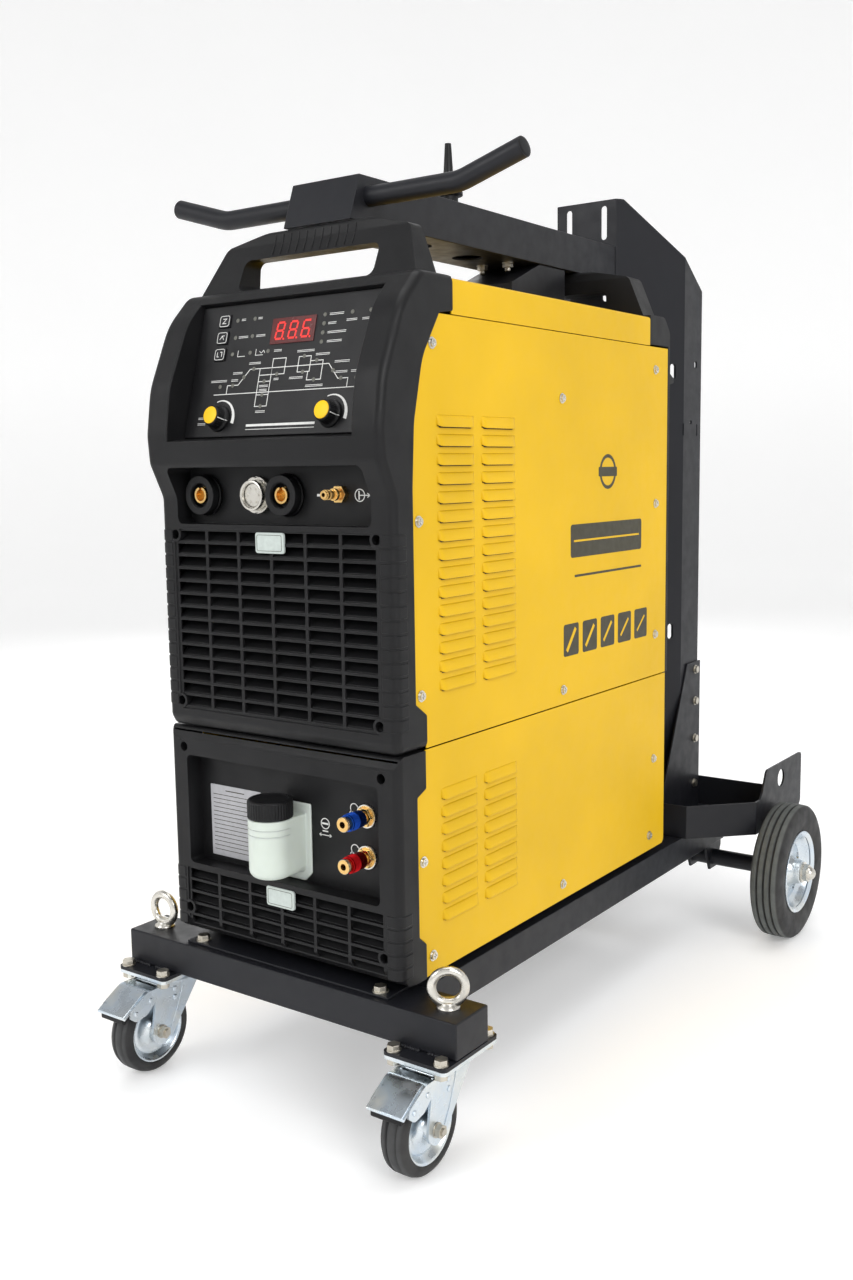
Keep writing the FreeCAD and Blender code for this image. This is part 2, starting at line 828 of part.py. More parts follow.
def caster_fork(side, name):
    """Swivel crown with two legs down to the wheel axle."""
    axle = d.caster_axle_y - d.caster_y
    crown = rod("z", 28, fork_low, length=fork_top - fork_low)
    leg = [(-33, fork_top), (24, fork_top, 4), (22, 98, 8), (axle + 17, 41, 12),
           (axle, 32, 14), (axle - 15, 44, 10), (axle - 8, 92, 8), (-43.5, 107.8, 2),
           (-36.5, 108.6), (-36, fork_top)]
    legs = []
    for hand in (-1, 1):
        body = new_body("leg")
        near = fork_inner if hand > 0 else -fork_inner - fork_skin
        pad(body, "YZ", near, near + fork_skin, [leg])
        pocket(body, "YZ", -30, 30,
               circles=[(axle, d.caster_wheel_r, 4), (pin_y, pin_z, 2.55)])
        legs.append(body)
    bridge = block(-fork_inner - fork_skin, fork_inner + fork_skin, -30, 20,
                   fork_low, fork_top)
    hole = rod("z", 6 + d.running_gap, 90, length=30)
    fork = cut(fuse(crown, bridge, *legs), hole)
    register(f"caster_fork_{name}", fork, side * d.caster_x, d.caster_y, 0)


def caster_axle(side, name):
    """Bolt, nut and washers through the fork and the wheel."""
    outer = fork_inner + fork_skin
    shank = rod("x", 4, -outer - 8, length=2 * outer + 18)
    washers = [rod("x", 8, -outer - 1.5, length=1.5), rod("x", 8, outer, length=1.5)]
    head = hexagon("x", 13, -outer - 6.8, 5.3, 0, 0, 0)
    nut = hexagon("x", 13, outer + 1.5, 6.5, 0, 0, 0)
    register(f"caster_axle_{name}", fuse(shank, head, nut, *washers),
             side * d.caster_x, d.caster_axle_y, d.caster_wheel_r)


def caster_wheel(side, name):
    """Pressed zinc rim on a bearing sleeve, with a grooved rubber tyre."""
    half = d.caster_width / 2
    bore = 4 + d.running_gap
    rim = new_body(f"caster_rim_{name}")
    spin(rim, [(-18, bore), (18, bore), (18, 10), (5, 13), (3, 30), (13, 33.5),
               (13.5, 38), (-13.5, 38), (-13, 33.5), (-3, 30), (-5, 13), (-18, 10)])
    register(f"caster_rim_{name}", rim, side * d.caster_x, d.caster_axle_y, d.caster_wheel_r)
    tyre = new_body(f"caster_tyre_{name}")
    radius = d.caster_wheel_r
    spin(tyre, [(-13.5, 38), (13.5, 38), (half, 41), (half, radius - 6), (half - 4, radius - 1),
                (7, radius), (6, radius - 2), (4, radius - 2), (3, radius),
                (-3, radius), (-4, radius - 2), (-6, radius - 2), (-7, radius),
                (-half + 4, radius - 1), (-half, radius - 6), (-half, 41)])
    register(f"caster_tyre_{name}", tyre, side * d.caster_x, d.caster_axle_y,
             d.caster_wheel_r)


def brake_pedal(side, name):
    """Foot lever hinged on a pin through the fork's front."""
    body = new_body(f"brake_pedal_{name}")
    # seen from the side, with the pin at the origin
    tread = [(-9, 2.4), (-24, 2.4), (-30, 0), (-61, -18), (-61, -20.5), (-29.5, -2.5),
             (-24, -0.1), (-9, -0.1)]
    pad(body, "YZ", -24, 24, [tread])
    cheek = [(4, -3, 1.5), (4, 2.4, 1.5), (-24, 2.4), (-30, 0), (-52, -12.8),
             (-54, -20, 4), (-44, -28, 8), (-28, -25, 10), (-2, -5, 4)]
    for hand in (-1, 1):
        near = 22 if hand > 0 else -24.5
        pad(body, "YZ", near, near + 2.5, [cheek])
    pad(body, "YZ", -24.5, 24.5, circles=[(0, 0, 2.5)])
    register(f"brake_pedal_{name}", body, side * d.caster_x, d.caster_y + pin_y, pin_z)


# ---------------------------------------------------------------- rear wheels

def rear_axle():
    """Round bar with reduced ends in two hanger plates under each rail."""
    half = d.wheel_x - d.wheel_width / 2 - 1
    bar = rod("x", d.axle_tube_r, -half, y=d.axle_y, z=d.wheel_r, length=2 * half)
    stub = rod("x", d.axle_end_r, -312, y=d.axle_y, z=d.wheel_r, length=624)
    hangers = []
    for x in (-162, -130, 126, 158):
        body = new_body("hanger")
        near = d.frame_bottom
        pad(body, "YZ", x, x + 4, [[(d.axle_y - 28, near), (d.axle_y - 28, near - 8),
                                    (d.axle_y - 14, 84), (d.axle_y + 14, 84),
                                    (d.axle_y + 28, near - 8), (d.axle_y + 28, near)]])
        hangers.append(body)
    register("rear_axle", fuse(bar, stub, *hangers))


def rear_wheel(side, name):
    """Grooved solid tyre on a pressed zinc hub with five openings."""
    hub = new_body(f"rear_hub_{name}")
    bore = d.axle_end_r + d.running_gap
    spin(hub, [(-23, bore), (24, bore), (24, 17), (14, 19), (6, 24), (3, 44), (8, 50),
               (16, 55), (18, 61), (-18, 61), (-16, 55), (-1, 44), (2, 24), (-6, 19),
               (-23, 17)])
    doc.recompute()
    for turn in range(5):
        angle = math.radians(72 * turn + 18)
        y, z = 35 * math.cos(angle), 35 * math.sin(angle)
        pocket(hub, "YZ", -20, 24, circles=[(y, z, 8)])
    x = side * d.wheel_x
    tilt = 0 if side > 0 else 180
    register(f"rear_hub_{name}", hub, x, d.axle_y, d.wheel_r, (0, 0, 1), tilt)
    tyre = new_body(f"rear_tyre_{name}")
    r, half = d.wheel_r, d.wheel_width / 2
    tread = [(-18, 61), (18, 61), (half - 1, 66), (half, r - 14), (half - 3, r - 4),
             (half - 6, r - 0.6)]
    for groove in (10, 0, -10):
        tread += [(groove + 2.4, r), (groove + 1, r - 3), (groove - 1, r - 3),
                  (groove - 2.4, r)]
    tread += [(-half + 6, r - 0.6), (-half + 3, r - 4), (-half, r - 14), (-half + 1, 66)]
    spin(tyre, tread)
    register(f"rear_tyre_{name}", tyre, x, d.axle_y, d.wheel_r)


def axle_nuts():
    """Domed nuts and washers outside the rear wheels."""
    nuts = []
    for side in (-1, 1):
        start = number(d.wheel_x) + 24.6
        low = start if side > 0 else -start - 2
        washer = rod("x", 16, low, y=d.axle_y, z=d.wheel_r, length=2)
        nut_low = start + 2 if side > 0 else -start - 10
        nut = hexagon("x", 24, nut_low, 8, 0, d.axle_y, d.wheel_r)
        dome = doc.addObject("Part::Sphere", "dome")
        dome.Radius = 10.5
        base(dome, side * (start + 9), d.axle_y, d.wheel_r)
        body = fuse(washer, nut, dome)
        stub = rod("x", d.axle_end_r, -312, y=d.axle_y, z=d.wheel_r, length=624)
        nuts.append(cut(body, stub))
    register("axle_nuts", group(*nuts))


# ---------------------------------------------------------------- power source

face = d.bezel_face
SCREW_HOLE_X = 145.3
GRILLE_COLUMNS = 6
COLUMN_PITCH = 48.5
ROW_PITCH = 14.6
SLOT_TALL = 11.0


def edge_curve(shift):
    """Where the side panel meets the front bezel, from the top downwards."""
    return [(51 + shift, d.cover_seam), (20 + shift, 832, 70), (4 + shift, 766, 90),
            (shift, 700, 100), (shift, 476.5), (17.9 + shift, 463.7)]


def slot_row(top):
    """One row of grille slots, side by side."""
    row = []
    for column in range(GRILLE_COLUMNS):
        left = (column - GRILLE_COLUMNS / 2) * COLUMN_PITCH
        row.append(rectangle(left + 2.2, left + COLUMN_PITCH - 2.2, top - SLOT_TALL, top))
    return row


def carrying_handle(body, front, lean, depth):
    """Arched handle on two posts, standing on the top of a bezel."""
    low = d.bezel_top - 5
    side_view = [(front, low), (front + depth, low), (front + depth + 6 * lean, 975),
                 (front + depth + 3 * lean, 986, 4), (front + 25 * lean + 3, 986, 5),
                 (front + 25 * lean, 972)]
    pad(body, "YZ", -156, 156, [side_view])
    above = d.bezel_top + 0.1
    trim = [(175, above), (153.5, above), (131, 973, 12), (60, 987.5), (60, 1000),
            (175, 1000)]
    opening = rectangle(-97, 97, d.bezel_top + 1, 956, 9)
    pocket(body, "XZ", front - 40, front + depth + 40, [trim, mirrored(trim), opening])


def on_front_corner(edge):
    """Whether an edge lies where a side face meets the curved front."""
    middle = edge.valueAt((edge.FirstParameter + edge.LastParameter) / 2)
    points = [vertex.Point for vertex in edge.Vertexes] + [middle]
    half = number(d.bezel_half_width)
    if any(abs(abs(point.x) - half) > 1e-4 for point in points):
        return False
    hood = middle.z > 870 and middle.y < 20 and middle.y < (middle.z - 884) * 0.96 - 13
    return middle.y < -20 or hood


def rounded_sides(solid, radius, low, high):
    """Round the two upright edges between the front face and the sides."""
    tools = []
    for side in (-1, 1):
        x = side * (d.bezel_half_width - radius)
        edge = side * (d.bezel_half_width + 2)
        left, right = (x, edge) if side > 0 else (edge, x)
        corner = block(left, right, face - 2, face + radius, low, high)
        tools.append(cut(corner, rod("z", radius, low, x=x, y=face + radius,
                                     length=high - low)))
    return cut(solid, *tools)


def front_bezel():
    """Moulded front of the power source: hood, recesses, grille and handle."""
    body = new_body("front_bezel")
    seam = d.unit_seam + 0.8
    outer = [(17.9, seam), (face + 6, seam, 6), (face, 438, 10), (face, 690, 20),
             (-52, 728, 20), (-54.5, 760, 60), (-47, 812, 90), (-16, 884, 90),
             (18, d.bezel_top, 22), (d.cover_front, d.bezel_top),
             (d.cover_front, d.cover_seam + 3.6)]
    pad(body, "YZ", -d.bezel_half_width, d.bezel_half_width, [outer + edge_curve(0)])
    pocket(body, "YZ", -164, 164,
           [[(90, 431), (-30, 431), (-30, 656), (-8, 656), (-8, 729), (-21, 757),
             (18.5, 903), (24, 915.5), (90, 915.5)]])
    pocket(body, "YZ", -132, 132,
           [[(-26, 755.5), (14.5, 903.5), (-24, 914), (-80, 914), (-80, 750)]])
    pocket(body, "XZ", -80, d.recess_floor, [rectangle(-140, 140, 661, 724, 8)])
    pocket(body, "XZ", -40, face + 1.5, [rectangle(-147, 147, 448, 655.5, 3)])
    row = pocket(body, "XZ", -40, -29, slot_row(653))
    repeat(body, row, "-Z", 14, 13 * ROW_PITCH)
    holes = [(x, z) for x in (-SCREW_HOLE_X, SCREW_HOLE_X) for z in (648.8, 456.9)]
    pad(body, "XZ", face, -18, circles=[(x, z, 8.5) for x, z in holes])
    pocket(body, "XZ", -40, -20, circles=[(x, z, 5.5) for x, z in holes])
    carrying_handle(body, 27, 1, 39)
    register("front_bezel", soften(body, 9, on_front_corner))


def rear_bezel():
    """Moulded rear of the power source: plate, slots, gland boss and handle."""
    body = new_body("rear_bezel")
    seam = d.unit_seam + 0.8
    inside = d.panel_rear + 0.8
    outer = [(d.cover_rear, d.cover_seam + 2), (d.cover_rear, d.bezel_top),
             (588, d.bezel_top, 14), (606, 900, 12), (606, seam), (inside, seam),
             (inside, d.cover_seam + 2)]
    pad(body, "YZ", -d.half_width, d.half_width, [outer])
    pocket(body, "YZ", -162, 162,
           [[(540, 870), (540, 915.5), (584, 915.5), (602, 897), (602, 431), (595, 431),
             (595, 870)]])
    row = pocket(body, "XZ", 601, 610,
                 [rectangle(x + 2.2, x + 46.3, 712, 723) for x in (-97, -48.5, 0, 48.5)])
    repeat(body, row, "-Z", 11, 10 * ROW_PITCH)
    pocket(body, "XZ", 601, 610,
           [rectangle(d.switch_x - 15.4, d.switch_x + 15.4, d.switch_z - 11.4,
                      d.switch_z + 11.4)])
    pad(body, "XZ", 597.4, 602.5, circles=[(0, d.fan_z, 22)])
    pad(body, "XZ", 605, 622, circles=[(d.gland_x, d.gland_z, 17)])
    pocket(body, "XZ", 600, 625, circles=[(d.gland_x, d.gland_z, 8)])
    pad(body, "YZ", 154, 162, [[(605, 851), (605, 829), (628, 833, 3), (628, 839, 3)]])
    carrying_handle(body, 587 - 39, 0, 36)
    register("rear_bezel", body)


def top_cover():
    """Folded lid with two short side flanges."""
    body = new_body("top_cover")
    half, top, skin = 166.0, number(d.cover_top), 1.5
    low = number(d.cover_seam) + 0.5
    profile = [(-half, low), (-half, top, 4), (half, top, 4), (half, low), (half - skin, low),
               (half - skin, top - skin, 2.5), (-half + skin, top - skin, 2.5),
               (-half + skin, low)]
    pad(body, "XZ", d.cover_front + 0.4, d.cover_rear - 0.4, [profile])
    register("top_cover", body)


def louvre_slots(body, top, count, pitch):
    """Two columns of vent slots, each under one pressed louvre."""
    for front, rear in ((44.0, 114.0), (128.0, 198.0)):
        slot = pocket(body, "YZ", -170, 170,
                      [rectangle(front + 2, rear - 2, top + 0.6, top + 3.4)])
        repeat(body, slot, "-Z", count, (count - 1) * pitch)


def side_panel(side, name):
    """Louvred steel side of the power source."""
    body = new_body(f"side_panel_{name}")
    profile = [(d.panel_rear, d.unit_seam + 0.8), (d.panel_rear, d.cover_seam - 0.4),
               (51.5, d.cover_seam - 0.4)]
    profile += edge_curve(0.6)[1:] + [(18.5, d.unit_seam + 0.8)]
    near = d.half_width - d.sheet if side > 0 else -d.half_width
    pad(body, "YZ", near, near + d.sheet, [profile])
    louvre_slots(body, 762.3, 15, 19.88)
    register(f"side_panel_{name}", body)


def control_panel():
    """Tilted front plate with openings for the buttons and shafts."""
    body = new_body("control_panel")
    wide, tall = d.control_width / 2, d.control_height / 2
    pad(body, "XZ", 0, d.control_thick, [rectangle(-wide, wide, -tall, tall)])
    windows = []
    for row in range(3):
        up = d.button_up - row * d.button_pitch
        windows.append(rectangle(d.button_x - d.button_width / 2 - d.side_gap,
                                 d.button_x + d.button_width / 2 + d.side_gap,
                                 up - d.button_tall / 2 - d.side_gap,
                                 up + d.button_tall / 2 + d.side_gap))
    shafts = [(side * d.knob_x, d.knob_up, 3.3) for side in (-1, 1)]
    pocket(body, "XZ", -1, d.control_thick + 1, windows, shafts)
    register("control_panel", body, 0, d.control_y, d.control_z, (1, 0, 0), d.control_tilt)


tilt = math.radians(DIMENSIONS["control_tilt"])


def on_panel(across, up, out=0):
    """A point of the tilted panel, in the machine's stations."""
    y = d.control_y - up * math.sin(tilt) - out * math.cos(tilt)
    z = d.control_z + up * math.cos(tilt) - out * math.sin(tilt)
    return across, y, z


def display_window():
    """Red-tinted cover of the three-digit display."""
    body = new_body("display_window")
    wide, tall = d.display_width / 2, d.display_tall / 2
    pad(body, "XZ", -1.2, 0, [rectangle(-wide, wide, -tall, tall)])
    register("display_window", body, *on_panel(d.display_x, d.display_up), (1, 0, 0),
             d.control_tilt)


def knob(side, name):
    """Skirted control knob with a flat-topped body and a short shaft."""
    skirt = rod("y", d.knob_skirt_r, -3.5, length=3.1)
    grip = rod("y", d.knob_body_r, -d.knob_reach, length=d.knob_reach - 3)
    shaft = rod("y", 3, -4, length=5.6)
    body = fuse(skirt, grip, shaft)
    register(f"knob_{name}", body, *on_panel(side * d.knob_x, d.knob_up), (1, 0, 0),
             d.control_tilt)


def push_button(row, name):
    """Small square key that travels into the panel."""
    body = new_body(f"button_{name}")
    wide, tall = d.button_width / 2, d.button_tall / 2
    pad(body, "XZ", -d.button_reach, 0.5, [rectangle(-wide, wide, -tall, tall)])
    up = d.button_up - row * d.button_pitch
    register(f"button_{name}", body, *on_panel(d.button_x, up), (1, 0, 0), d.control_tilt)


def output_sockets():
    """Insulating housings of the two weld current sockets."""
    housings = []
    for x in (d.socket_left, d.socket_right):
        shell = rod("y", d.socket_r, d.recess_floor - 15, x=x, z=d.socket_z, length=15)
        mouth = rod("y", 14, d.recess_floor - 16, x=x, z=d.socket_z, length=13)
        seat = rod("y", 9.05, d.recess_floor - 4, x=x, z=d.socket_z, length=5)
        housings.append(cut(shell, mouth, seat))
    register("output_sockets", group(*housings))


def socket_contacts():
    """Brass sleeves inside the output sockets."""
    sleeves = []
    for x in (d.socket_left, d.socket_right):
        sleeve = rod("y", 9, d.recess_floor - 13, x=x, z=d.socket_z, length=13)
        bore = rod("y", d.socket_bore, d.recess_floor - 14, x=x, z=d.socket_z, length=12)
        key = block(x - 2, x + 2, d.recess_floor - 14, d.recess_floor - 6,
                    d.socket_z + 5, d.socket_z + 10)
        sleeves.append(cut(sleeve, bore, key))
    register("socket_contacts", group(*sleeves))


def control_socket():
    """Round multi-pin socket for the torch switch."""
    x, z, floor = d.control_socket_x, d.socket_z, d.recess_floor
    flange = rod("y", 20.5, floor - 4, x=x, z=z, length=4)
    barrel = rod("y", 16.5, floor - 14, x=x, z=z, length=11)
    mouth = rod("y", 13.5, floor - 15, x=x, z=z, length=3)
    throat = rod("y", 13.1, floor - 13, x=x, z=z, length=7)
    insert = rod("y", 12.4, floor - 11, x=x, z=z, length=8)
    pins = [rod("y", 1.3, floor - 11.9, x=x + 8 * math.cos(math.radians(60 * i)),
                z=z + 8 * math.sin(math.radians(60 * i)), length=2) for i in range(6)]
    housing = cut(fuse(flange, barrel), fuse(mouth, throat))
    register("control_socket", fuse(housing, insert, *pins))


def gas_outlet():
    """Brass hose tail for the shielding gas."""
    x, z, floor = d.gas_x, d.socket_z + 1, d.recess_floor
    hexagonal = hexagon("y", 17, floor - 7, 7, x, 0, z)
    stem = rod("y", 4.6, floor - 30, x=x, z=z, length=24)
    collar = rod("y", 6.5, floor - 15, x=x, z=z, length=4)
    barbs = [rod("y", 5.3, floor - 28 + 5 * i, x=x, z=z, length=2) for i in range(2)]
    bore = rod("y", 2.2, floor - 31, x=x, z=z, length=28)
    register("gas_outlet", cut(fuse(hexagonal, stem, collar, *barbs), bore))


def cooling_fan():
    """Seven-bladed rotor behind the rear slots."""
    hub = rod("y", 24, 577, length=20)
    blades = []
    for i in range(7):
        body = new_body("blade")
        pad(body, "XZ", 580, 594, [[(-4, 20), (8, 20), (26, 70), (12, 77), (-8, 72)]])
        body.Placement = FreeCAD.Placement(
            FreeCAD.Vector(0, 0, 0), FreeCAD.Rotation(FreeCAD.Vector(0, 1, 0), 360 * i / 7))
        blades.append(body)
    register("cooling_fan", fuse(hub, *blades), 0, 0, d.fan_z)


def power_module():
    """Floor plate, finned heat sink and transformer of the inverter."""
    floor = block(-160, 160, 22, 596, d.unit_seam + 0.9, d.unit_seam + 2.9)
    low = number(d.unit_seam) + 2.9
    spine = block(-70, 70, 150, 430, low + 10, low + 26)
    fins = [block(-70 + 17 * i, -66 + 17 * i, 150, 430, low + 20, low + 110)
            for i in range(9)]
    legs = [block(x, x + 10, y, y + 10, low, low + 12)
            for x in (-60, 50) for y in (160, 410)]
    core = block(-60, 60, 460, 560, low, low + 90)
    register("power_module", group(floor, fuse(spine, *fins, *legs), core))


def power_switch():
    """Rocker of the mains switch on the rear plate."""
    body = new_body("power_switch")
    pad(body, "YZ", -15, 15, [[(-4, -9), (4.5, -10), (2.2, 0), (7, 9.5), (-4, 9)]])
    register("power_switch", body, d.switch_x, 606, d.switch_z)


def panel_screws():
    """Cross-recess screws with washers on both sides of the two units."""
    places = [(37.6, 847), (305.3, 800.5), (560.2, 847.5), (10.1, 665.6), (563.6, 666.8),
              (565, 484.8), (10.4, 484), (308, 445.1), (563.8, 307.3), (552, 198),
              (306.1, 196.9), (9.8, 305.5), (24.8, 197.3)]
    screws = []
    for side in (-1, 1):
        for y, z in places:
            start = 166.0 if side > 0 else -167.0
            washer = rod("x", 6.2, start, y=y, z=z, length=1)
            head = rod("x", 4.4, start + 1 if side > 0 else start - 2.4, y=y, z=z, length=2.4)
            slot = block(start + 2.2, start + 4, y - 0.6, y + 0.6, z - 3, z + 3)
            cross = block(start + 2.2, start + 4, y - 3, y + 3, z - 0.6, z + 0.6)
            if side < 0:
                slot = block(start - 4, start - 1.2, y - 0.6, y + 0.6, z - 3, z + 3)
                cross = block(start - 4, start - 1.2, y - 3, y + 3, z - 0.6, z + 0.6)
            screws.append(cut(fuse(washer, head), slot, cross))
    register("panel_screws", group(*screws))


# ---------------------------------------------------------------- water cooler

def cooler_bezel():
    """Moulded front of the cooler with a recess and a small grille."""
    body = new_body("cooler_bezel")
    low, top = d.cooler_bottom, d.unit_seam - 0.7
    outer = [(15.8, top), (face + 7, top, 6), (face, 413, 10), (face, 196, 12),
             (-22, 178, 10), (-8, low), (12.3, low), (12.3, 214.4), (0, 225), (0, 377),
             (15.8, 384)]
    pad(body, "YZ", -d.bezel_half_width, d.bezel_half_width, [outer])
    pocket(body, "YZ", -164, 164,
           [[(90, 421.5), (-30, 421.5), (-30, 397), (-8, 397), (-8, 260), (-30, 259),
             (-30, 195.5), (-19.7, 180), (90, 180)]])
    pocket(body, "XZ", -80, d.cooler_floor, [rectangle(-141, 141, 264, 393, 6)])
    pocket(body, "XZ", -40, face + 1.5, [rectangle(-147, 147, 183.5, 258, 3)])
    row = pocket(body, "XZ", -40, -21, slot_row(255.5))
    repeat(body, row, "-Z", 5, 4 * 14.4)
    holes = [(x, z) for x in (-SCREW_HOLE_X, SCREW_HOLE_X) for z in (402.2, 208.4)]
    pad(body, "XZ", face, -18, circles=[(x, z, 8.5) for x, z in holes])
    pocket(body, "XZ", -40, -20, circles=[(x, z, 5.5) for x, z in holes])
    register("cooler_bezel", rounded_sides(body, 9, low - 2, top + 2))


def cooler_shell():
    """Louvred sides and plain rear of the cooler."""
    low, top = number(d.cooler_bottom) + 0.4, number(d.unit_seam) - 0.7
    profile = [(d.panel_rear, low, 8), (d.panel_rear, top), (16.4, top), (16.4, 384),
               (0.6, 377), (0.6, 225), (12.9, 214.4), (12.9, low)]
    sides = []
    for side in (-1, 1):
        body = new_body("cooler_side")
        near = d.half_width - d.sheet if side > 0 else -d.half_width
        pad(body, "YZ", near, near + d.sheet, [profile])
        louvre_slots(body, 365.0, 8, 19.36)
        sides.append(body)
    rear = block(-d.half_width + 1, d.half_width - 1, d.panel_rear - 3, d.panel_rear - 1,
                 low + 8, top)
    register("cooler_shell", fuse(*sides, rear))


def coolant_tank():
    """Translucent filler bottle on a back plate, with a neck for the cap."""
    plate = new_body("tank_plate")
    plate_low, plate_high = 265.0, 354.0
    pad(plate, "XZ", d.cooler_floor - 2.5, d.cooler_floor,
        [[(-34, plate_low + 8), (-26, plate_low), (20, plate_low), (30.5, plate_low + 10),
          (30.5, plate_high), (-34, plate_high)]])
    cup = rod("z", d.tank_r, d.tank_low, x=d.cap_x, y=d.cap_y,
              length=d.tank_top - d.tank_low)
    back = block(d.cap_x - d.tank_r, d.cap_x + d.tank_r, d.cap_y, d.cooler_floor - 2,
                 d.tank_low, d.tank_top)
    bottle = soften(fuse(cup, back), 10,
                    lambda e: e.BoundBox.ZMax < number(d.tank_low) + 1
                    and e.BoundBox.YMin < number(d.cooler_floor) - 3)
    neck = rod("z", d.neck_r, d.tank_top - 1, x=d.cap_x, y=d.cap_y,
               length=d.neck_top - d.tank_top + 1)
    register("coolant_tank", fuse(plate, bottle, neck))


def coolant_cap():
    """Ribbed screw cap, open underneath to clear the neck."""
    ribs = 36
    outline = []
    for i in range(2 * ribs):
        radius = number(d.cap_r) - (0 if i % 2 else 1.3)
        angle = math.pi * i / ribs
        outline.append((radius * math.cos(angle), radius * math.sin(angle)))
    body = new_body("coolant_cap")
    pad(body, "XY", d.cap_low, d.cap_high - 2, [outline])
    pad(body, "XY", d.cap_high - 3, d.cap_high, circles=[(0, 0, d.cap_r - 2.5)])
    pocket(body, "XY", d.cap_low - 1, d.neck_top + 1, circles=[(0, 0, d.neck_r + 0.4)])
    register("coolant_cap", body, d.cap_x, d.cap_y, 0)


def coolant_couplers():
    """Brass quick couplers for the coolant hoses."""
    bodies = []
    for z in (d.coupler_high, d.coupler_low):
        x, floor = d.coupler_x, d.cooler_floor
        flange = rod("y", 11.5, floor - 3, x=x, z=z, length=3)
        nut = hexagon("y", 19, floor - 7, 4, x, 0, z)
        stem = rod("y", 6.2, floor - 38, x=x, z=z, length=32)
        mouth = rod("y", 7.6, floor - 41, x=x, z=z, length=5)
        bore = rod("y", 3.6, floor - 42, x=x, z=z, length=30)
        bodies.append(cut(fuse(flange, nut, stem, mouth), bore))
    register("coolant_couplers", group(*bodies))


def coupler_sleeve(z, name):
    """Coloured locking sleeve that slides on a coupler."""
    tube = rod("y", 9.2, -22.6, length=22.6)
    bore = rod("y", 6.25, -23, length=24)
    register(f"coupler_sleeve_{name}", cut(tube, bore), d.coupler_x,
             d.cooler_floor - 11, z)


def pump_unit():
    """Floor plate, pump motor, tank and radiator of the cooler."""
    low = number(d.cooler_bottom) + 0.6
    floor = block(-160, 160, 20, 590, low, low + 2)
    tank = block(-120, 120, 330, 560, low + 2, low + 182)
    motor = rod("y", 48, 150, x=40, z=low + 60, length=160)
    foot = block(0, 80, 170, 290, low + 2, low + 30)
    radiator = block(-140, 140, 60, 110, low + 2, low + 120)
    register("pump_unit", group(floor, tank, fuse(motor, foot), radiator))


# ---------------------------------------------------------------- assembly

front_cross_tube()
side_rails()
rear_cross_tube()
base_pan()
caster_mount_plates()
eyebolt(1, d.eye_turn)
eyebolt(-1, 0)
column()
column_gussets()
register("frame_bolts", group(*hex_bolts(), *gusset_bolts()))
bottle_tray()
top_arm()
handlebar()
cable_peg()
arm_bracket()
caster_plates()
rear_axle()
axle_nuts()
for side, name in ((1, "right"), (-1, "left")):
    caster_fork(side, name)
    caster_axle(side, name)
    caster_wheel(side, name)
    brake_pedal(side, name)
    rear_wheel(side, name)
    side_panel(side, name)
    knob(side, name)
front_bezel()
rear_bezel()
top_cover()
control_panel()
display_window()
for row, name in enumerate(("upper", "middle", "lower")):
    push_button(row, name)
output_sockets()
socket_contacts()
control_socket()
gas_outlet()
cooling_fan()
power_module()
power_switch()
panel_screws()
cooler_bezel()
cooler_shell()
coolant_tank()
coolant_cap()
coolant_couplers()
coupler_sleeve(d.coupler_high, "blue")
coupler_sleeve(d.coupler_low, "red")
pump_unit()

doc.recompute()
for obj in doc.Objects:
    if "Invalid" in obj.State or "Error" in obj.State:
        raise RuntimeError(f"{obj.Label} ({obj.Name}) did not compute: {obj.State}")
for label, obj in nodes.items():
    if obj.Shape.isNull() or not obj.Shape.isValid():
        raise RuntimeError(f"{label} has no valid shape")

os.makedirs("parts", exist_ok=True)
for label, obj in nodes.items():
    obj.Shape.exportStep(f"parts/{label}.step")
print(len(nodes), "sub-parts written")
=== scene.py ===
import json
import math

import bmesh
import bpy
from mathutils import Matrix, Vector

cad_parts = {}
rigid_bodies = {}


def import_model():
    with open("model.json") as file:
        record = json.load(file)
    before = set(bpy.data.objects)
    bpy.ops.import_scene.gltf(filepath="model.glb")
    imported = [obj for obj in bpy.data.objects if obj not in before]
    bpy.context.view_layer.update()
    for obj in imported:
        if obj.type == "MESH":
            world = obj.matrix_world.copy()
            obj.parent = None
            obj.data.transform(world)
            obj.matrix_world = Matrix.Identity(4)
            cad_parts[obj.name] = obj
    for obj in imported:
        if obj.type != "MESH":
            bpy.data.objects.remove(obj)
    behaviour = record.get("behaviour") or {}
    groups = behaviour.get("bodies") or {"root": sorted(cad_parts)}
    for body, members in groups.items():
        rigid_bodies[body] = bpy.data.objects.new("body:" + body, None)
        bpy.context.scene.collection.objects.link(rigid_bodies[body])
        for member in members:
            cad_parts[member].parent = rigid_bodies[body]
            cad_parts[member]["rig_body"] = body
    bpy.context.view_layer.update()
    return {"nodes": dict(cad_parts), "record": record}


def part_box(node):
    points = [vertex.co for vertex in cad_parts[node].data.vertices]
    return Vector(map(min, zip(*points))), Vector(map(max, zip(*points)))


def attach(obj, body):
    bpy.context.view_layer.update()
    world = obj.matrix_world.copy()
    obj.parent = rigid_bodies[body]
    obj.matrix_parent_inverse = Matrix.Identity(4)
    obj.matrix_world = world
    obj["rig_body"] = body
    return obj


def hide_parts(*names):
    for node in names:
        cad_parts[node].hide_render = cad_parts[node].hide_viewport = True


# The looks of a wheeled TIG welder: a yellow power source on a water cooler, with a
# black cart. Lengths are millimetres until they reach a mesh. Stations along Y are
# measured from the front edge of the yellow side panels, as in the CAD source.

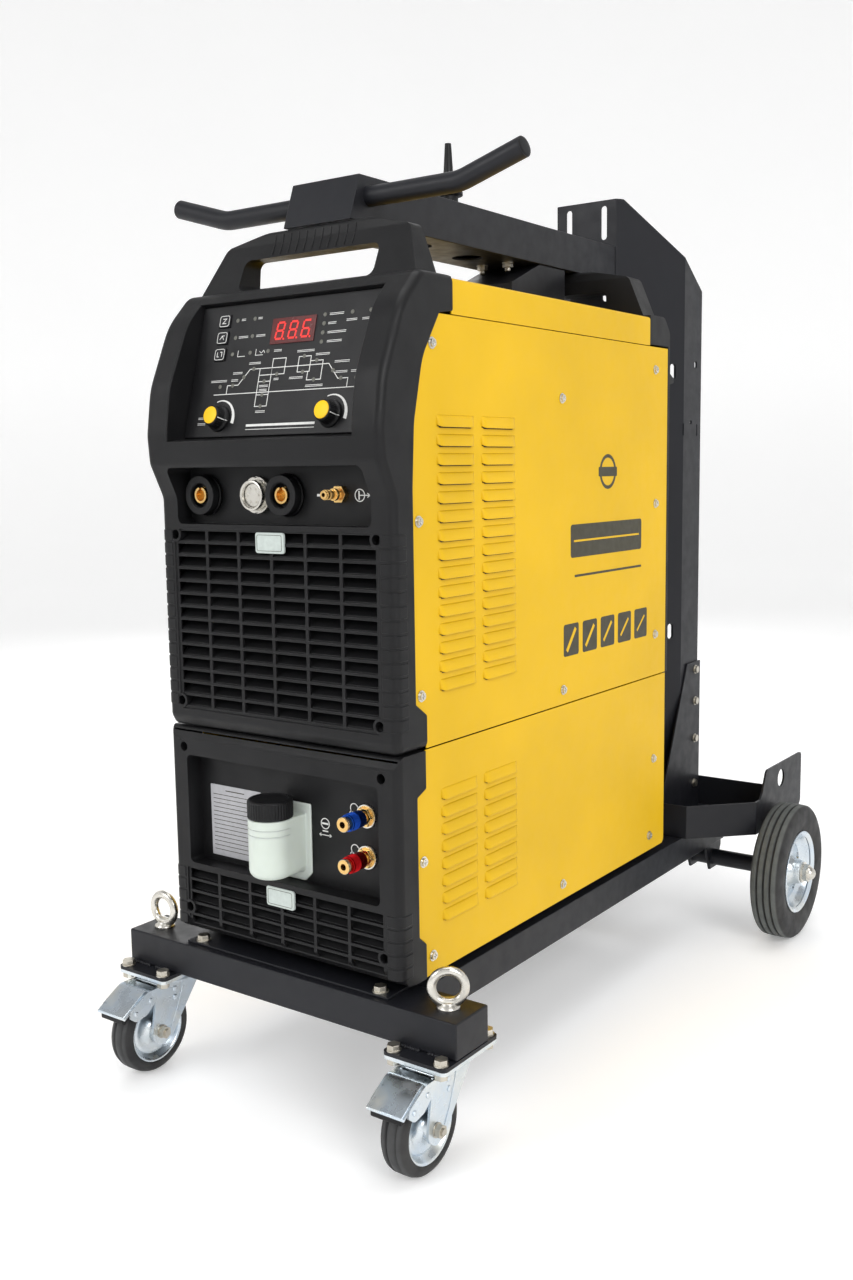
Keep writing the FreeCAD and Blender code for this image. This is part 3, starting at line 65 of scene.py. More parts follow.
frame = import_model()
nodes = frame["nodes"]
MM = 0.001
RAIL_FRONT = 16
SIDE_FACE = 166.0
RECESS_FLOOR = -12.0
SOCKET_Z = 693
TORCH_X = -33
WELD_SOCKETS = (-112, 10)
COUPLER_X = 108
COUPLER_HEIGHTS = {"blue": 352, "red": 306.5}
CASTER_X = 203
WHEEL_X = 281
TANK_X, TANK_Y = -2, -44
DIAL_REACH, DIAL_DROP = 80, -55
INK = 0.12
SIDES = (("right", 1), ("left", -1))
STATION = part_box("side_rails")[0].y - RAIL_FRONT * MM
slot_of = {part["node"]: part["material_slot"] for part in frame["record"]["subparts"]}


def at(x, y, z):
    return Vector((x * MM, y * MM + STATION, z * MM))


def station(point):
    """The reverse of at: a place in metres, given in millimetres and stations."""
    return Vector((point.x / MM, (point.y - STATION) / MM, point.z / MM))


def middle(node):
    low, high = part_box(node)
    return station((low + high) / 2)


def round_radius(node):
    low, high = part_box(node)
    return (high.z - low.z) / MM / 2


# ---------------------------------------------------------------- materials

class Nodes:
    """A node tree with short calls for adding and linking."""

    def __init__(self, name):
        self.material = bpy.data.materials.new(name)
        self.material.use_nodes = True
        self.tree = self.material.node_tree
        self.shader = self.tree.nodes["Principled BSDF"]
        self.coords = self.add("ShaderNodeTexCoord").outputs["Object"]

    def add(self, kind, **values):
        node = self.tree.nodes.new(kind)
        for key, value in values.items():
            if key in node.inputs:
                node.inputs[key].default_value = value
            else:
                setattr(node, key, value)
        return node

    def link(self, start, end):
        self.tree.links.new(start, end)

    def noise(self, scale, detail=3.0, stretch=None):
        node = self.add("ShaderNodeTexNoise", Scale=scale, Detail=detail)
        start = self.coords
        if stretch:
            mapping = self.add("ShaderNodeMapping", Scale=stretch)
            self.link(start, mapping.inputs["Vector"])
            start = mapping.outputs["Vector"]
        self.link(start, node.inputs["Vector"])
        return node.outputs["Fac"]

    def spread(self, source, low, high, start=0.3, end=0.7):
        node = self.add("ShaderNodeMapRange")
        for name, value in (("From Min", start), ("From Max", end), ("To Min", low),
                            ("To Max", high)):
            node.inputs[name].default_value = value
        self.link(source, node.inputs["Value"])
        return node.outputs["Result"]

    def tones(self, source, stops):
        """A colour ramp over a noise; stops are (place, colour)."""
        node = self.add("ShaderNodeValToRGB")
        ramp = node.color_ramp
        while len(ramp.elements) < len(stops):
            ramp.elements.new(0.5)
        for element, (place, colour) in zip(ramp.elements, stops):
            element.position = place
            element.color = (*colour, 1)
        self.link(source, node.inputs["Fac"])
        return node.outputs["Color"]

    def mix(self, factor, first, second):
        node = self.add("ShaderNodeMix", data_type="RGBA")
        self.link(factor, node.inputs["Factor"])
        for socket, value in ((node.inputs["A"], first), (node.inputs["B"], second)):
            if isinstance(value, tuple):
                socket.default_value = (*value, 1)
            else:
                self.link(value, socket)
        return node.outputs["Result"]

    def calc(self, operation, *values):
        node = self.add("ShaderNodeMath", operation=operation)
        for socket, value in zip(node.inputs, values):
            if isinstance(value, float):
                socket.default_value = value
            else:
                self.link(value, socket)
        return node.outputs["Value"]

    def bump(self, *layers):
        """Layers of (height output, strength, depth in millimetres)."""
        normal = None
        for height, strength, depth in layers:
            node = self.add("ShaderNodeBump", Strength=strength, Distance=depth * MM)
            self.link(height, node.inputs["Height"])
            if normal:
                self.link(normal, node.inputs["Normal"])
            normal = node.outputs["Normal"]
        self.link(normal, self.shader.inputs["Normal"])


def shade(colour, factor):
    return tuple(min(1.0, channel * factor) for channel in colour)


def worn_edges(tree, colour, bright, width):
    """Lighten the colour along sharp edges, broken up by noise."""
    bevel = tree.add("ShaderNodeBevel", samples=4, Radius=width * MM)
    true = tree.add("ShaderNodeNewGeometry")
    dot = tree.add("ShaderNodeVectorMath", operation="DOT_PRODUCT")
    tree.link(bevel.outputs["Normal"], dot.inputs[0])
    tree.link(true.outputs["Normal"], dot.inputs[1])
    edge = tree.spread(dot.outputs["Value"], 1.0, 0.0, 0.93, 0.995)
    patch = tree.spread(tree.noise(160, 4), 0.0, 0.6, 0.42, 0.68)
    return tree.mix(tree.calc("MULTIPLY", edge, patch), colour, bright)


def painted(name, colour, rough, grain, depth, wear=None, sheen=0.4):
    """Powder coat: fine orange peel, faint tone drift, rubbed edges."""
    tree = Nodes(name)
    tree.shader.inputs["Specular IOR Level"].default_value = sheen
    tone = tree.tones(tree.noise(5, 3), [(0.3, shade(colour, 0.92)),
                                         (0.7, shade(colour, 1.06))])
    if wear:
        tone = worn_edges(tree, tone, wear, 1.2)
    tree.link(tone, tree.shader.inputs["Base Color"])
    tree.link(tree.spread(tree.noise(60, 4), rough - 0.05, rough + 0.08),
              tree.shader.inputs["Roughness"])
    tree.bump((tree.noise(grain, 2), 0.35, depth), (tree.noise(grain * 0.12, 2), 0.2, depth))
    return tree.material


def moulded(name, colour, rough, grain, depth, wear=None):
    """Textured plastic: spark-eroded grain, handling sheen, pale rubbed edges."""
    tree = Nodes(name)
    tone = tree.tones(tree.noise(9, 4), [(0.3, shade(colour, 0.82)),
                                         (0.7, shade(colour, 1.2))])
    if wear:
        tone = worn_edges(tree, tone, wear, 1.0)
    tree.link(tone, tree.shader.inputs["Base Color"])
    tree.link(tree.spread(tree.noise(30, 5), rough - 0.08, rough + 0.1),
              tree.shader.inputs["Roughness"])
    tree.shader.inputs["Specular IOR Level"].default_value = 0.24
    cells = tree.add("ShaderNodeTexVoronoi", Scale=grain)
    tree.link(tree.coords, cells.inputs["Vector"])
    tree.bump((cells.outputs["Distance"], 0.45, depth), (tree.noise(grain * 0.6, 3), 0.3, depth))
    return tree.material


def metal(name, colours, rough, scale, depth=0.03):
    """Bare or plated metal with drifting tint and fine scratches."""
    tree = Nodes(name)
    count = len(colours)
    stops = [(0.25 + 0.5 * i / (count - 1), colour) for i, colour in enumerate(colours)]
    tree.link(tree.tones(tree.noise(scale, 5), stops), tree.shader.inputs["Base Color"])
    tree.shader.inputs["Metallic"].default_value = 1.0
    tree.link(tree.spread(tree.noise(scale * 4, 5), rough - 0.07, rough + 0.12),
              tree.shader.inputs["Roughness"])
    lines = tree.noise(700, 2, (1, 1, 0.08))
    tree.bump((lines, 0.15, depth), (tree.noise(scale * 9, 3), 0.12, depth * 3))
    return tree.material


def tyre_rubber(name, wheel, tread_radius, worn):
    """Dark rubber with a greyer, dusty tread; the wheel is centred on a node."""
    tree = Nodes(name)
    spot = at(*middle(wheel))
    parts = tree.add("ShaderNodeSeparateXYZ")
    tree.link(tree.coords, parts.inputs["Vector"])
    squares = []
    for axis, place in (("Y", spot.y), ("Z", spot.z)):
        shift = tree.calc("SUBTRACT", parts.outputs[axis], place)
        squares.append(tree.calc("MULTIPLY", shift, shift))
    reach = tree.calc("SQRT", tree.calc("ADD", *squares))
    tread = tree.spread(reach, 0.0, 1.0, (tread_radius - 2.6) * MM, (tread_radius - 0.9) * MM)
    dark = tree.tones(tree.noise(35, 5), [(0.35, (0.010, 0.010, 0.011)),
                                          (0.7, (0.026, 0.025, 0.024))])
    dusty = tree.tones(tree.noise(90, 5), [(0.3, shade(worn, 0.75)), (0.7, worn)])
    tree.link(tree.mix(tread, dark, dusty), tree.shader.inputs["Base Color"])
    tree.link(tree.spread(tree.noise(50, 4), 0.55, 0.8), tree.shader.inputs["Roughness"])
    tree.bump((tree.noise(900, 3), 0.3, 0.12), (tree.noise(120, 3), 0.2, 0.3))
    return tree.material


def plain_print(name, colour, rough=0.5):
    """Screen-printed ink, slightly uneven."""
    tree = Nodes(name)
    tree.link(tree.tones(tree.noise(220, 3), [(0.3, shade(colour, 0.88)), (0.7, colour)]),
              tree.shader.inputs["Base Color"])
    tree.link(tree.spread(tree.noise(90, 3), rough - 0.06, rough + 0.06),
              tree.shader.inputs["Roughness"])
    tree.bump((tree.noise(1500, 2), 0.15, 0.02))
    return tree.material


def glowing(name, colour, strength):
    """Lit display segment, a little brighter in its middle."""
    tree = Nodes(name)
    lit = tree.tones(tree.noise(400, 2), [(0.2, shade(colour, 0.8)), (0.8, colour)])
    tree.link(lit, tree.shader.inputs["Base Color"])
    tree.link(lit, tree.shader.inputs["Emission Color"])
    tree.shader.inputs["Emission Strength"].default_value = strength
    tree.bump((tree.noise(900, 2), 0.1, 0.02))
    return tree.material


def milky(name, colour):
    """Translucent blow-moulded plastic."""
    tree = Nodes(name)
    tree.link(tree.tones(tree.noise(25, 3), [(0.3, shade(colour, 0.93)), (0.7, colour)]),
              tree.shader.inputs["Base Color"])
    tree.link(tree.spread(tree.noise(60, 3), 0.3, 0.45), tree.shader.inputs["Roughness"])
    tree.shader.inputs["Subsurface Weight"].default_value = 0.6
    tree.shader.inputs["Subsurface Radius"].default_value = (0.012, 0.012, 0.010)
    tree.shader.inputs["Subsurface Scale"].default_value = 0.6
    tree.bump((tree.noise(90, 2), 0.12, 0.3))
    return tree.material


YELLOW = (0.70, 0.425, 0.006)
materials = {
    "yellow_paint": painted("powder_coat_yellow", YELLOW, 0.45, 1500, 0.05, sheen=0.22),
    "black_paint": painted("powder_coat_black", (0.0095, 0.010, 0.013), 0.42, 1300, 0.08,
                           wear=(0.04, 0.04, 0.044), sheen=0.28),
    "black_plastic": moulded("grained_black_plastic", (0.0065, 0.0065, 0.0072), 0.44, 1700,
                             0.10, wear=(0.026, 0.026, 0.028)),
    "panel_print": moulded("panel_film", (0.010, 0.010, 0.011), 0.36, 2600, 0.03),
    "red_window": plain_print("red_display_window", (0.085, 0.004, 0.004), 0.22),
    "key_grey": moulded("key_plastic", (0.014, 0.014, 0.016), 0.5, 2600, 0.03),
    "zinc_plate": metal("blue_zinc", [(0.50, 0.58, 0.64), (0.66, 0.70, 0.72),
                                      (0.60, 0.68, 0.76), (0.72, 0.71, 0.64)], 0.26, 14),
    "bright_steel": metal("nickel_plate", [(0.55, 0.53, 0.48), (0.72, 0.70, 0.65)], 0.26, 30),
    "plated_bolts": metal("dull_plate", [(0.42, 0.39, 0.33), (0.62, 0.59, 0.52)], 0.36, 45),
    "brass": metal("turned_brass", [(0.66, 0.40, 0.14), (0.86, 0.60, 0.24)], 0.24, 30),
    "caster_rubber": tyre_rubber("caster_rubber", "caster_tyre_right", 51.0,
                                 (0.045, 0.046, 0.047)),
    "wheel_rubber": tyre_rubber("wheel_rubber", "rear_tyre_right", 101.6,
                                (0.10, 0.108, 0.104)),
    "tank_plastic": milky("milky_plastic", (0.62, 0.68, 0.62)),
    "blue_sleeve": metal("blue_anodised", [(0.01, 0.05, 0.34), (0.02, 0.10, 0.52)], 0.35, 60),
    "red_sleeve": metal("red_anodised", [(0.42, 0.008, 0.01), (0.60, 0.015, 0.02)], 0.35, 60),
    "inner_metal": metal("inner_metal", [(0.16, 0.16, 0.16), (0.24, 0.24, 0.24)], 0.5, 20),
    "inner_plastic": moulded("inner_plastic", (0.010, 0.010, 0.011), 0.6, 900, 0.05),
    "yellow_cap": moulded("yellow_cap_plastic", (0.92, 0.50, 0.006), 0.34, 2200, 0.02),
    "white_print": plain_print("white_ink", (0.78, 0.78, 0.76)),
    "badge_plate": plain_print("badge_plate", (0.52, 0.58, 0.55), 0.35),
    "dark_print": plain_print("dark_ink", (0.035, 0.030, 0.012)),
}
lit_red = glowing("lit_segment", (0.85, 0.02, 0.015), 0.35)
lamp_off = plain_print("unlit_lamp", (0.13, 0.13, 0.11), 0.3)
label_paper = plain_print("label_paper", (0.42, 0.42, 0.44), 0.5)


# ---------------------------------------------------------------- meshes

def add_object(name, bm):
    mesh = bpy.data.meshes.new(name)
    bm.to_mesh(mesh)
    bm.free()
    made = bpy.data.objects.new(name, mesh)
    bpy.context.scene.collection.objects.link(made)
    return made


def new_piece(name, bm, slot, body="frame", material=None, bevel=0.0, smooth_angle=35,
              replaced=()):
    """Turn a bmesh into a piece that rides on a body and has a finish."""
    bmesh.ops.recalc_face_normals(bm, faces=bm.faces)
    for face in bm.faces:
        face.smooth = True
    limit = math.radians(smooth_angle)
    for edge in bm.edges:
        if len(edge.link_faces) == 2:
            edge.smooth = edge.calc_face_angle(0) < limit
    piece = add_object(name, bm)
    piece.data.materials.append(material or materials[slot])
    if bevel:
        rounding = piece.modifiers.new("rounding", "BEVEL")
        rounding.width = bevel * MM
        rounding.segments = 2
        rounding.limit_method = "ANGLE"
        rounding.angle_limit = math.radians(40)
    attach(piece, body)
    for node in replaced:
        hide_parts(node)
    return piece


class Plane:
    """Two directions across a surface and one out of it, from an origin in stations."""

    def __init__(self, origin, across, up, out):
        self.origin = at(*origin)
        self.across = Vector(across).normalized()
        self.up = Vector(up).normalized()
        self.out = Vector(out).normalized()

    def point(self, a, b, c=0.0):
        return self.origin + (self.across * a + self.up * b + self.out * c) * MM


def prism(bm, plane, outline, low, high):
    """A flat outline, raised between two heights over a plane."""
    bottom = [bm.verts.new(plane.point(a, b, low)) for a, b in outline]
    top = [bm.verts.new(plane.point(a, b, high)) for a, b in outline]
    bm.faces.new(bottom)
    bm.faces.new(list(reversed(top)))
    for i in range(len(outline)):
        j = (i + 1) % len(outline)
        bm.faces.new((bottom[i], top[i], top[j], bottom[j]))


def band(bm, plane, outer, inner, low, high, closed=False):
    """The strip between two lines of points, raised over a plane."""
    rows = []
    for line, height in ((outer, low), (outer, high), (inner, high), (inner, low)):
        rows.append([bm.verts.new(plane.point(a, b, height)) for a, b in line])
    count = len(outer)
    last = count if closed else count - 1
    for i in range(last):
        j = (i + 1) % count
        for k in range(4):
            first, second = rows[k], rows[(k + 1) % 4]
            bm.faces.new((first[i], first[j], second[j], second[i]))
    if not closed:
        bm.faces.new([row[0] for row in rows])
        bm.faces.new([row[-1] for row in rows])


def circle(a, b, radius, count=24, start=0.0, sweep=360.0):
    full = abs(sweep - 360) < 1e-6
    steps = count if full else count - 1
    return [(a + radius * math.cos(math.radians(start + sweep * i / steps)),
             b + radius * math.sin(math.radians(start + sweep * i / steps)))
            for i in range(count)]


def rounded(a0, a1, b0, b1, radius, count=5):
    """A rectangle with rounded corners."""
    outline = []
    for a, b, start in ((a1 - radius, b0 + radius, -90), (a1 - radius, b1 - radius, 0),
                        (a0 + radius, b1 - radius, 90), (a0 + radius, b0 + radius, 180)):
        outline += circle(a, b, radius, count, start, 90)
    return outline


def line(bm, plane, points, width, low=0.0, high=0.18, closed=False):
    """A printed line of one width with mitred corners."""
    count = len(points)
    left, right = [], []
    for i, (a, b) in enumerate(points):
        here = Vector((a, b))
        before = Vector(points[i - 1]) if i or closed else None
        after = Vector(points[(i + 1) % count]) if i < count - 1 or closed else None
        first = (here - before).normalized() if before is not None else None
        second = (after - here).normalized() if after is not None else None
        way = ((first or second) + (second or first)).normalized()
        side = Vector((-way.y, way.x))
        edge = first or second
        reach = width / 2 / max(0.35, side.dot(Vector((-edge.y, edge.x))))
        left.append(tuple(here + side * reach))
        right.append(tuple(here - side * reach))
    band(bm, plane, left, right, low, high, closed)


def loop_ring(bm, plane, a, b, radius, width, low=0.0, high=0.18, count=32):
    band(bm, plane, circle(a, b, radius + width / 2, count),
         circle(a, b, radius - width / 2, count), low, high, True)


def lathe(bm, profile, origin, axis, segments=64, closed=False, flutes=None):
    """Turn a profile of (along, radius) about an axis through a point in stations."""
    axis = Vector(axis).normalized()
    side = axis.cross(Vector((0, 0, 1)) if abs(axis.z) < 0.9 else Vector((1, 0, 0)))
    side.normalize()
    other = axis.cross(side)
    start = at(*origin)
    rings = []
    for along, radius in profile:
        centre = start + axis * (along * MM)
        if radius < 1e-6:
            rings.append([bm.verts.new(centre)])
            continue
        ring = []
        for i in range(segments):
            turn = 2 * math.pi * i / segments
            reach = flutes(along, radius, turn) if flutes else radius
            ring.append(bm.verts.new(
                centre + (side * math.cos(turn) + other * math.sin(turn)) * (reach * MM)))
        rings.append(ring)
    pairs = list(zip(rings, rings[1:]))
    if closed:
        pairs.append((rings[-1], rings[0]))
    for first, second in pairs:
        for i in range(segments):
            j = (i + 1) % segments
            if len(first) == 1 and len(second) == 1:
                continue
            if len(first) == 1:
                bm.faces.new((first[0], second[j], second[i]))
            elif len(second) == 1:
                bm.faces.new((first[i], first[j], second[0]))
            else:
                bm.faces.new((first[i], first[j], second[j], second[i]))


CORNER = math.radians(28)
FOLD = math.radians(8)
WIDE_FACE = 150
NO_LIMIT = 99.0


def room_beside(edge, sharp):
    """How wide a rounding the neighbouring edges leave room for, in millimetres."""
    room = NO_LIMIT
    way = (edge.verts[1].co - edge.verts[0].co).normalized()
    for corner in edge.verts:
        for other in corner.link_edges:
            if other is edge:
                continue
            across = other.other_vert(corner).co - corner.co
            sine = way.cross(across.normalized()).length
            if sine < 0.1:
                continue
            far = other.other_vert(corner)
            shared = 0.45 if any(e in sharp for e in far.link_edges if e is not other) else 0.9
            room = min(room, across.length * sine * shared / MM)
    return room


def smooth_chains(sharp):
    """Groups of sharp edges that run on into each other without a corner."""
    left, chains = set(sharp), []
    while left:
        chain, queue = [], [left.pop()]
        while queue:
            edge = queue.pop()
            chain.append(edge)
            for corner in edge.verts:
                way = edge.other_vert(corner).co - corner.co
                for other in corner.link_edges:
                    if other not in left:
                        continue
                    onward = other.other_vert(corner).co - corner.co
                    if way.angle(onward, 0) > math.radians(140):
                        left.discard(other)
                        queue.append(other)
        chains.append(chain)
    return chains


def refine(node, width, rules=(), segments=2):
    """Stand a copy with rounded edges in for a CAD node.

    A rule is (test on an edge's middle in stations, width) and the first match wins.
    """
    bm = bmesh.new()
    bm.from_mesh(nodes[node].data)
    bmesh.ops.remove_doubles(bm, verts=bm.verts, dist=2e-6)
    bmesh.ops.dissolve_limit(bm, angle_limit=math.radians(0.2), verts=bm.verts,
                             edges=bm.edges)
    widest = max([width] + [rule[1] for rule in rules])
    weights = bm.edges.layers.float.new("bevel_weight_edge")
    sharp = {edge for edge in bm.edges if len(edge.link_faces) == 2
             and edge.calc_face_angle(0) > CORNER}
    sizes = {}
    for edge in sharp:
        centre = (edge.verts[0].co + edge.verts[1].co) / 2
        x, y, z = station(centre)
        size = width
        for test, special in rules:
            if test(x, y, z):
                size = special
                break
        sizes[edge] = min(size, room_beside(edge, sharp))
    for chain in smooth_chains(sharp):
        least = min(sizes[edge] for edge in chain)
        for edge in chain:
            edge[weights] = least / widest
    for face in bm.faces:
        face.smooth = True
    folds = (edge for edge in bm.edges if edge not in sharp and len(edge.link_faces) == 2)
    for edge in folds:
        wide = min(face.calc_area() for face in edge.link_faces) > WIDE_FACE * MM * MM
        edge.smooth = not (wide and edge.calc_face_angle(0) > FOLD)
    piece = add_object(node + "_shape", bm)
    piece.data.materials.clear()
    piece.data.materials.append(materials[slot_of[node]])
    rounding = piece.modifiers.new("rounding", "BEVEL")
    rounding.width = widest * MM
    rounding.segments = segments
    rounding.limit_method = "WEIGHT"
    rounding.use_clamp_overlap = False
    rounding.loop_slide = False
    even = piece.modifiers.new("even_shading", "WEIGHTED_NORMAL")
    even.mode = "FACE_AREA"
    even.weight = 100
    even.keep_sharp = True
    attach(piece, nodes[node]["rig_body"])
    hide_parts(node)


# ---------------------------------------------------------------- rounded CAD shapes

def in_grille(x, y, z):
    return abs(x) < 148 and y < -20 and (446 < z < 657 or 182 < z < 259)


def near_handle(x, y, z):
    return z > 925


for node, width in (
        ("front_cross_tube", 2.2), ("side_rails", 1.3), ("rear_cross_tube", 1.3),
        ("base_pan", 0.8), ("caster_mount_plates", 0.7), ("frame_bolts", 0.45),
        ("column", 0.9), ("column_gussets", 0.7), ("bottle_tray", 0.9), ("top_arm", 1.1),
        ("handlebar", 0.6), ("arm_bracket", 0.8), ("caster_plates", 0.6),
        ("rear_axle", 0.8), ("axle_nuts", 0.5), ("side_panel_right", 0.45),
        ("side_panel_left", 0.45), ("top_cover", 0.6), ("control_panel", 0.4),
        ("button_upper", 0.5), ("button_middle", 0.5), ("button_lower", 0.5),
        ("output_sockets", 0.9), ("socket_contacts", 0.5), ("control_socket", 0.4),
        ("gas_outlet", 0.35), ("power_switch", 0.8), ("panel_screws", 0.3),
        ("cooler_shell", 0.45), ("coolant_couplers", 0.4), ("coupler_sleeve_blue", 0.5),
        ("coupler_sleeve_red", 0.5), ("cable_peg", 1.0), ("display_window", 0.4),
        ("caster_fork_right", 0.9), ("caster_fork_left", 0.9), ("caster_axle_right", 0.4),
        ("caster_axle_left", 0.4), ("brake_pedal_right", 0.6), ("brake_pedal_left", 0.6),
        ("rear_hub_right", 0.6), ("rear_hub_left", 0.6)):
    refine(node, width)
refine("front_bezel", 1.8, [(in_grille, 0.6), (near_handle, 3.5)], segments=3)
refine("rear_bezel", 1.2, [(near_handle, 3.0)], segments=3)
refine("cooler_bezel", 1.8, [(in_grille, 0.6)], segments=3)
refine("coolant_tank", 2.0, segments=3)
for name in ("cooling_fan", "power_module", "pump_unit", "eyebolt_right", "eyebolt_left",
             "knob_right", "knob_left", "coolant_cap", "caster_rim_right",
             "caster_rim_left", "caster_tyre_right", "caster_tyre_left",
             "rear_tyre_right", "rear_tyre_left"):
    nodes[name].data.materials.clear()
    nodes[name].data.materials.append(materials[slot_of[name]])


# ---------------------------------------------------------------- louvres and grilles

def side_plane(side):
    return Plane((SIDE_FACE * side, 0, 0), (0, 1, 0), (0, 0, 1), (side, 0, 0))


def lengthwise(x=0):
    """Looks across the machine: Y and Z, raised along X."""
    return Plane((x, 0, 0), (0, 1, 0), (0, 0, 1), (1, 0, 0))


def louvres(name, side, top, count, pitch):
    """Pressed hoods over the vent slits: closed above, open below, each with a dark sheet of painted
    shade on the panel under it.
    """
    rise, tall, ends = 4.2, 12.8, 8.0
    across, up = 18, 7
    bm = bmesh.new()
    painted_shade = bmesh.new()
    wall = side_plane(side)
    for row in range(count):
        low = top - row * pitch
        for front, rear in ((44.0, 114.0), (128.0, 198.0)):
            grid = []
            for i in range(across + 1):
                y = front + (rear - front) * i / across
                edge = min(1.0, (y - front) / ends, (rear - y) / ends)
                shoulder = math.sin(math.pi / 2 * max(0.0, edge)) ** 0.7
                column = []
                for j in range(up + 1):
                    share = j / up
                    height = rise * shoulder * math.cos(math.pi / 2 * share) ** 0.9
                    sag = 2.4 * (1 - shoulder) * (1 - share)
                    spot = at(side * (SIDE_FACE + height - 0.05), y, low + tall * share + sag)
                    column.append(bm.verts.new(spot))
                grid.append(column)
            for i in range(across):
                for j in range(up):
                    bm.faces.new((grid[i][j], grid[i + 1][j], grid[i + 1][j + 1],
                                  grid[i][j + 1]))
            # painted shade: a dark sheet laid on the panel in the lower part of each hood stands in
            # for the shadow under the hood and in its slits
            prism(painted_shade, wall, rounded(front + 4, rear - 4, low - 0.9, low + 5.5, 2.5), 0.02, 0.12)
    new_piece(name.replace("louvres", "louvre_painted_shade"), painted_shade, "inner_plastic")
    bmesh.ops.recalc_face_normals(bm, faces=bm.faces)
    outward = sum((face.normal.x for face in bm.faces), 0.0) * side
    if outward < 0:
        bmesh.ops.reverse_faces(bm, faces=bm.faces)
    for face in bm.faces:
        face.smooth = True
    piece = add_object(name, bm)
    piece.data.materials.append(materials["yellow_paint"])
    skin = piece.modifiers.new("sheet", "SOLIDIFY")
    skin.thickness = 0.7 * MM
    skin.offset = -1
    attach(piece, "frame")


for word, side in SIDES:
    louvres(f"louvres_{word}", side, 762.3, 15, 19.88)
    louvres(f"cooler_louvres_{word}", side, 365.0, 8, 19.36)


def slats(name, top, count, pitch, near, far, half, rise=9.0):
    """Sloping blades behind a grille that hide the inside."""
    bm = bmesh.new()
    for row in range(count):
        low = top - 11 - row * pitch
        side_view = [(near, low - 0.6), (near, low + 0.9), (far, low + rise + 1.5),
                     (far, low + rise)]
        prism(bm, lengthwise(), side_view, -half, half)
    new_piece(name, bm, "black_plastic", bevel=0.3)


def backing(name, y, low, high, half):
    """Dark gauze behind the slats, with shallow ribs."""
    bm = bmesh.new()
    plane = Plane((0, y, 0), (1, 0, 0), (0, 0, 1), (0, -1, 0))
    ribs = []
    count = 2 * int(half / 6)
    for i in range(count + 1):
        x = -half + 2 * half * i / count
        ribs.append((x, 0.0 if i % 2 else 0.8))
    for (x0, h0), (x1, h1) in zip(ribs, ribs[1:]):
        corners = [plane.point(x0, low, h0), plane.point(x1, low, h1),
                   plane.point(x1, high, h1), plane.point(x0, high, h0)]
        bm.faces.new([bm.verts.new(corner) for corner in corners])
    bmesh.ops.remove_doubles(bm, verts=bm.verts, dist=1e-6)
    bmesh.ops.solidify(bm, geom=list(bm.faces), thickness=0.8 * MM)
    new_piece(name, bm, "inner_plastic")


slats("grille_slats_upper", 653, 14, 14.6, -30.5, -17, 146)
slats("grille_slats_lower", 255.5, 5, 14.4, -28.5, -16, 146)
slats("grille_slats_rear", 723, 11, 14.6, 603.5, 599.0, 100, rise=7.0)
backing("grille_gauze_upper", -13, 440, 655, 150)
backing("grille_gauze_lower", -12.6, 186, 258, 150)


def wrap_tiles(name, top, count, pitch):
    """Shallow pads that carry the grille's rows round the corners of a bezel."""
    bm = bmesh.new()
    outer = [(150, -34.7)] + circle(159, -25, 9.8, 7, -90, 90) + [(168.8, -14)]
    inner = [(150, -33)] + circle(159, -25, 8.0, 7, -90, 90) + [(167, -14)]
    for side in (1, -1):
        plane = Plane((0, 0, 0), (side, 0, 0), (0, 1, 0), (0, 0, 1))
        for row in range(count):
            high = top + 1.0 - row * pitch
            band(bm, plane, outer, inner, high - pitch + 2.2, high)
    new_piece(name, bm, "black_plastic", bevel=0.7, smooth_angle=30)


wrap_tiles("corner_pads_upper", 653, 14, 14.6)
wrap_tiles("corner_pads_lower", 255.5, 5, 14.4)


def handle_ribs(name, front_low, front_high, sign):
    """Upright grip ribs across the carrying handle."""
    bm = bmesh.new()
    plane = lengthwise()
    section = [(front_low[0] + 1.5 * sign, front_low[1]), front_low, front_high,
               (front_high[0] + 1.5 * sign, front_high[1])]
    proud = [(y - 0.9 * sign, z) for y, z in section[1:3]]
    outline = [section[0], proud[0], proud[1], section[3]]
    for i in range(-5, 6):
        prism(bm, plane, outline, i * 11.5 - 0.9, i * 11.5 + 0.9)
    new_piece(name, bm, "black_plastic", bevel=0.4)


handle_ribs("grip_ribs_lower", (45.9, 958.5), (52.0, 971.5), 1)
handle_ribs("grip_ribs_upper", (52.2, 972.5), (54.2, 981.5), 1)


# ---------------------------------------------------------------- control panel

TILT = math.radians(15.32)
out_way = Vector((0, -math.cos(TILT), math.sin(TILT)))
up_way = Vector((0, math.sin(TILT), math.cos(TILT)))
plate = middle("control_panel")
panel = Plane(tuple(plate + out_way * 1.0), (1, 0, 0), up_way, out_way)

bm = bmesh.new()
for points in (
        [(-95, -27.4), (117, -27.4)],
        [(-75.8, -27.4), (-75.8, -17.6), (-59.7, -17.6), (-44.8, -0.6), (67.4, -0.6),
         (82.5, -17.4), (96, -17.4), (96, -27.4)],
        [(-30, -1), (-30, -43), (-12.5, -43), (-12.5, -1)],
        [(-30, -15.4), (-12.5, -15.4)], [(-30, -30.2), (-12.5, -30.2)],
        [(-12.5, -8.2), (-12.5, 9.4), (6, 9.4), (6, -8.2), (-30, -8.2)],
        [(24.5, -7.6), (24.5, 9.4), (41.4, 9.4), (41.4, -7.6), (24.5, -7.6)],
        [(41.4, 3.8), (58.8, 3.8), (58.8, -17), (39.5, -17), (39.5, -7.6)]):
    line(bm, panel, points, 0.8)
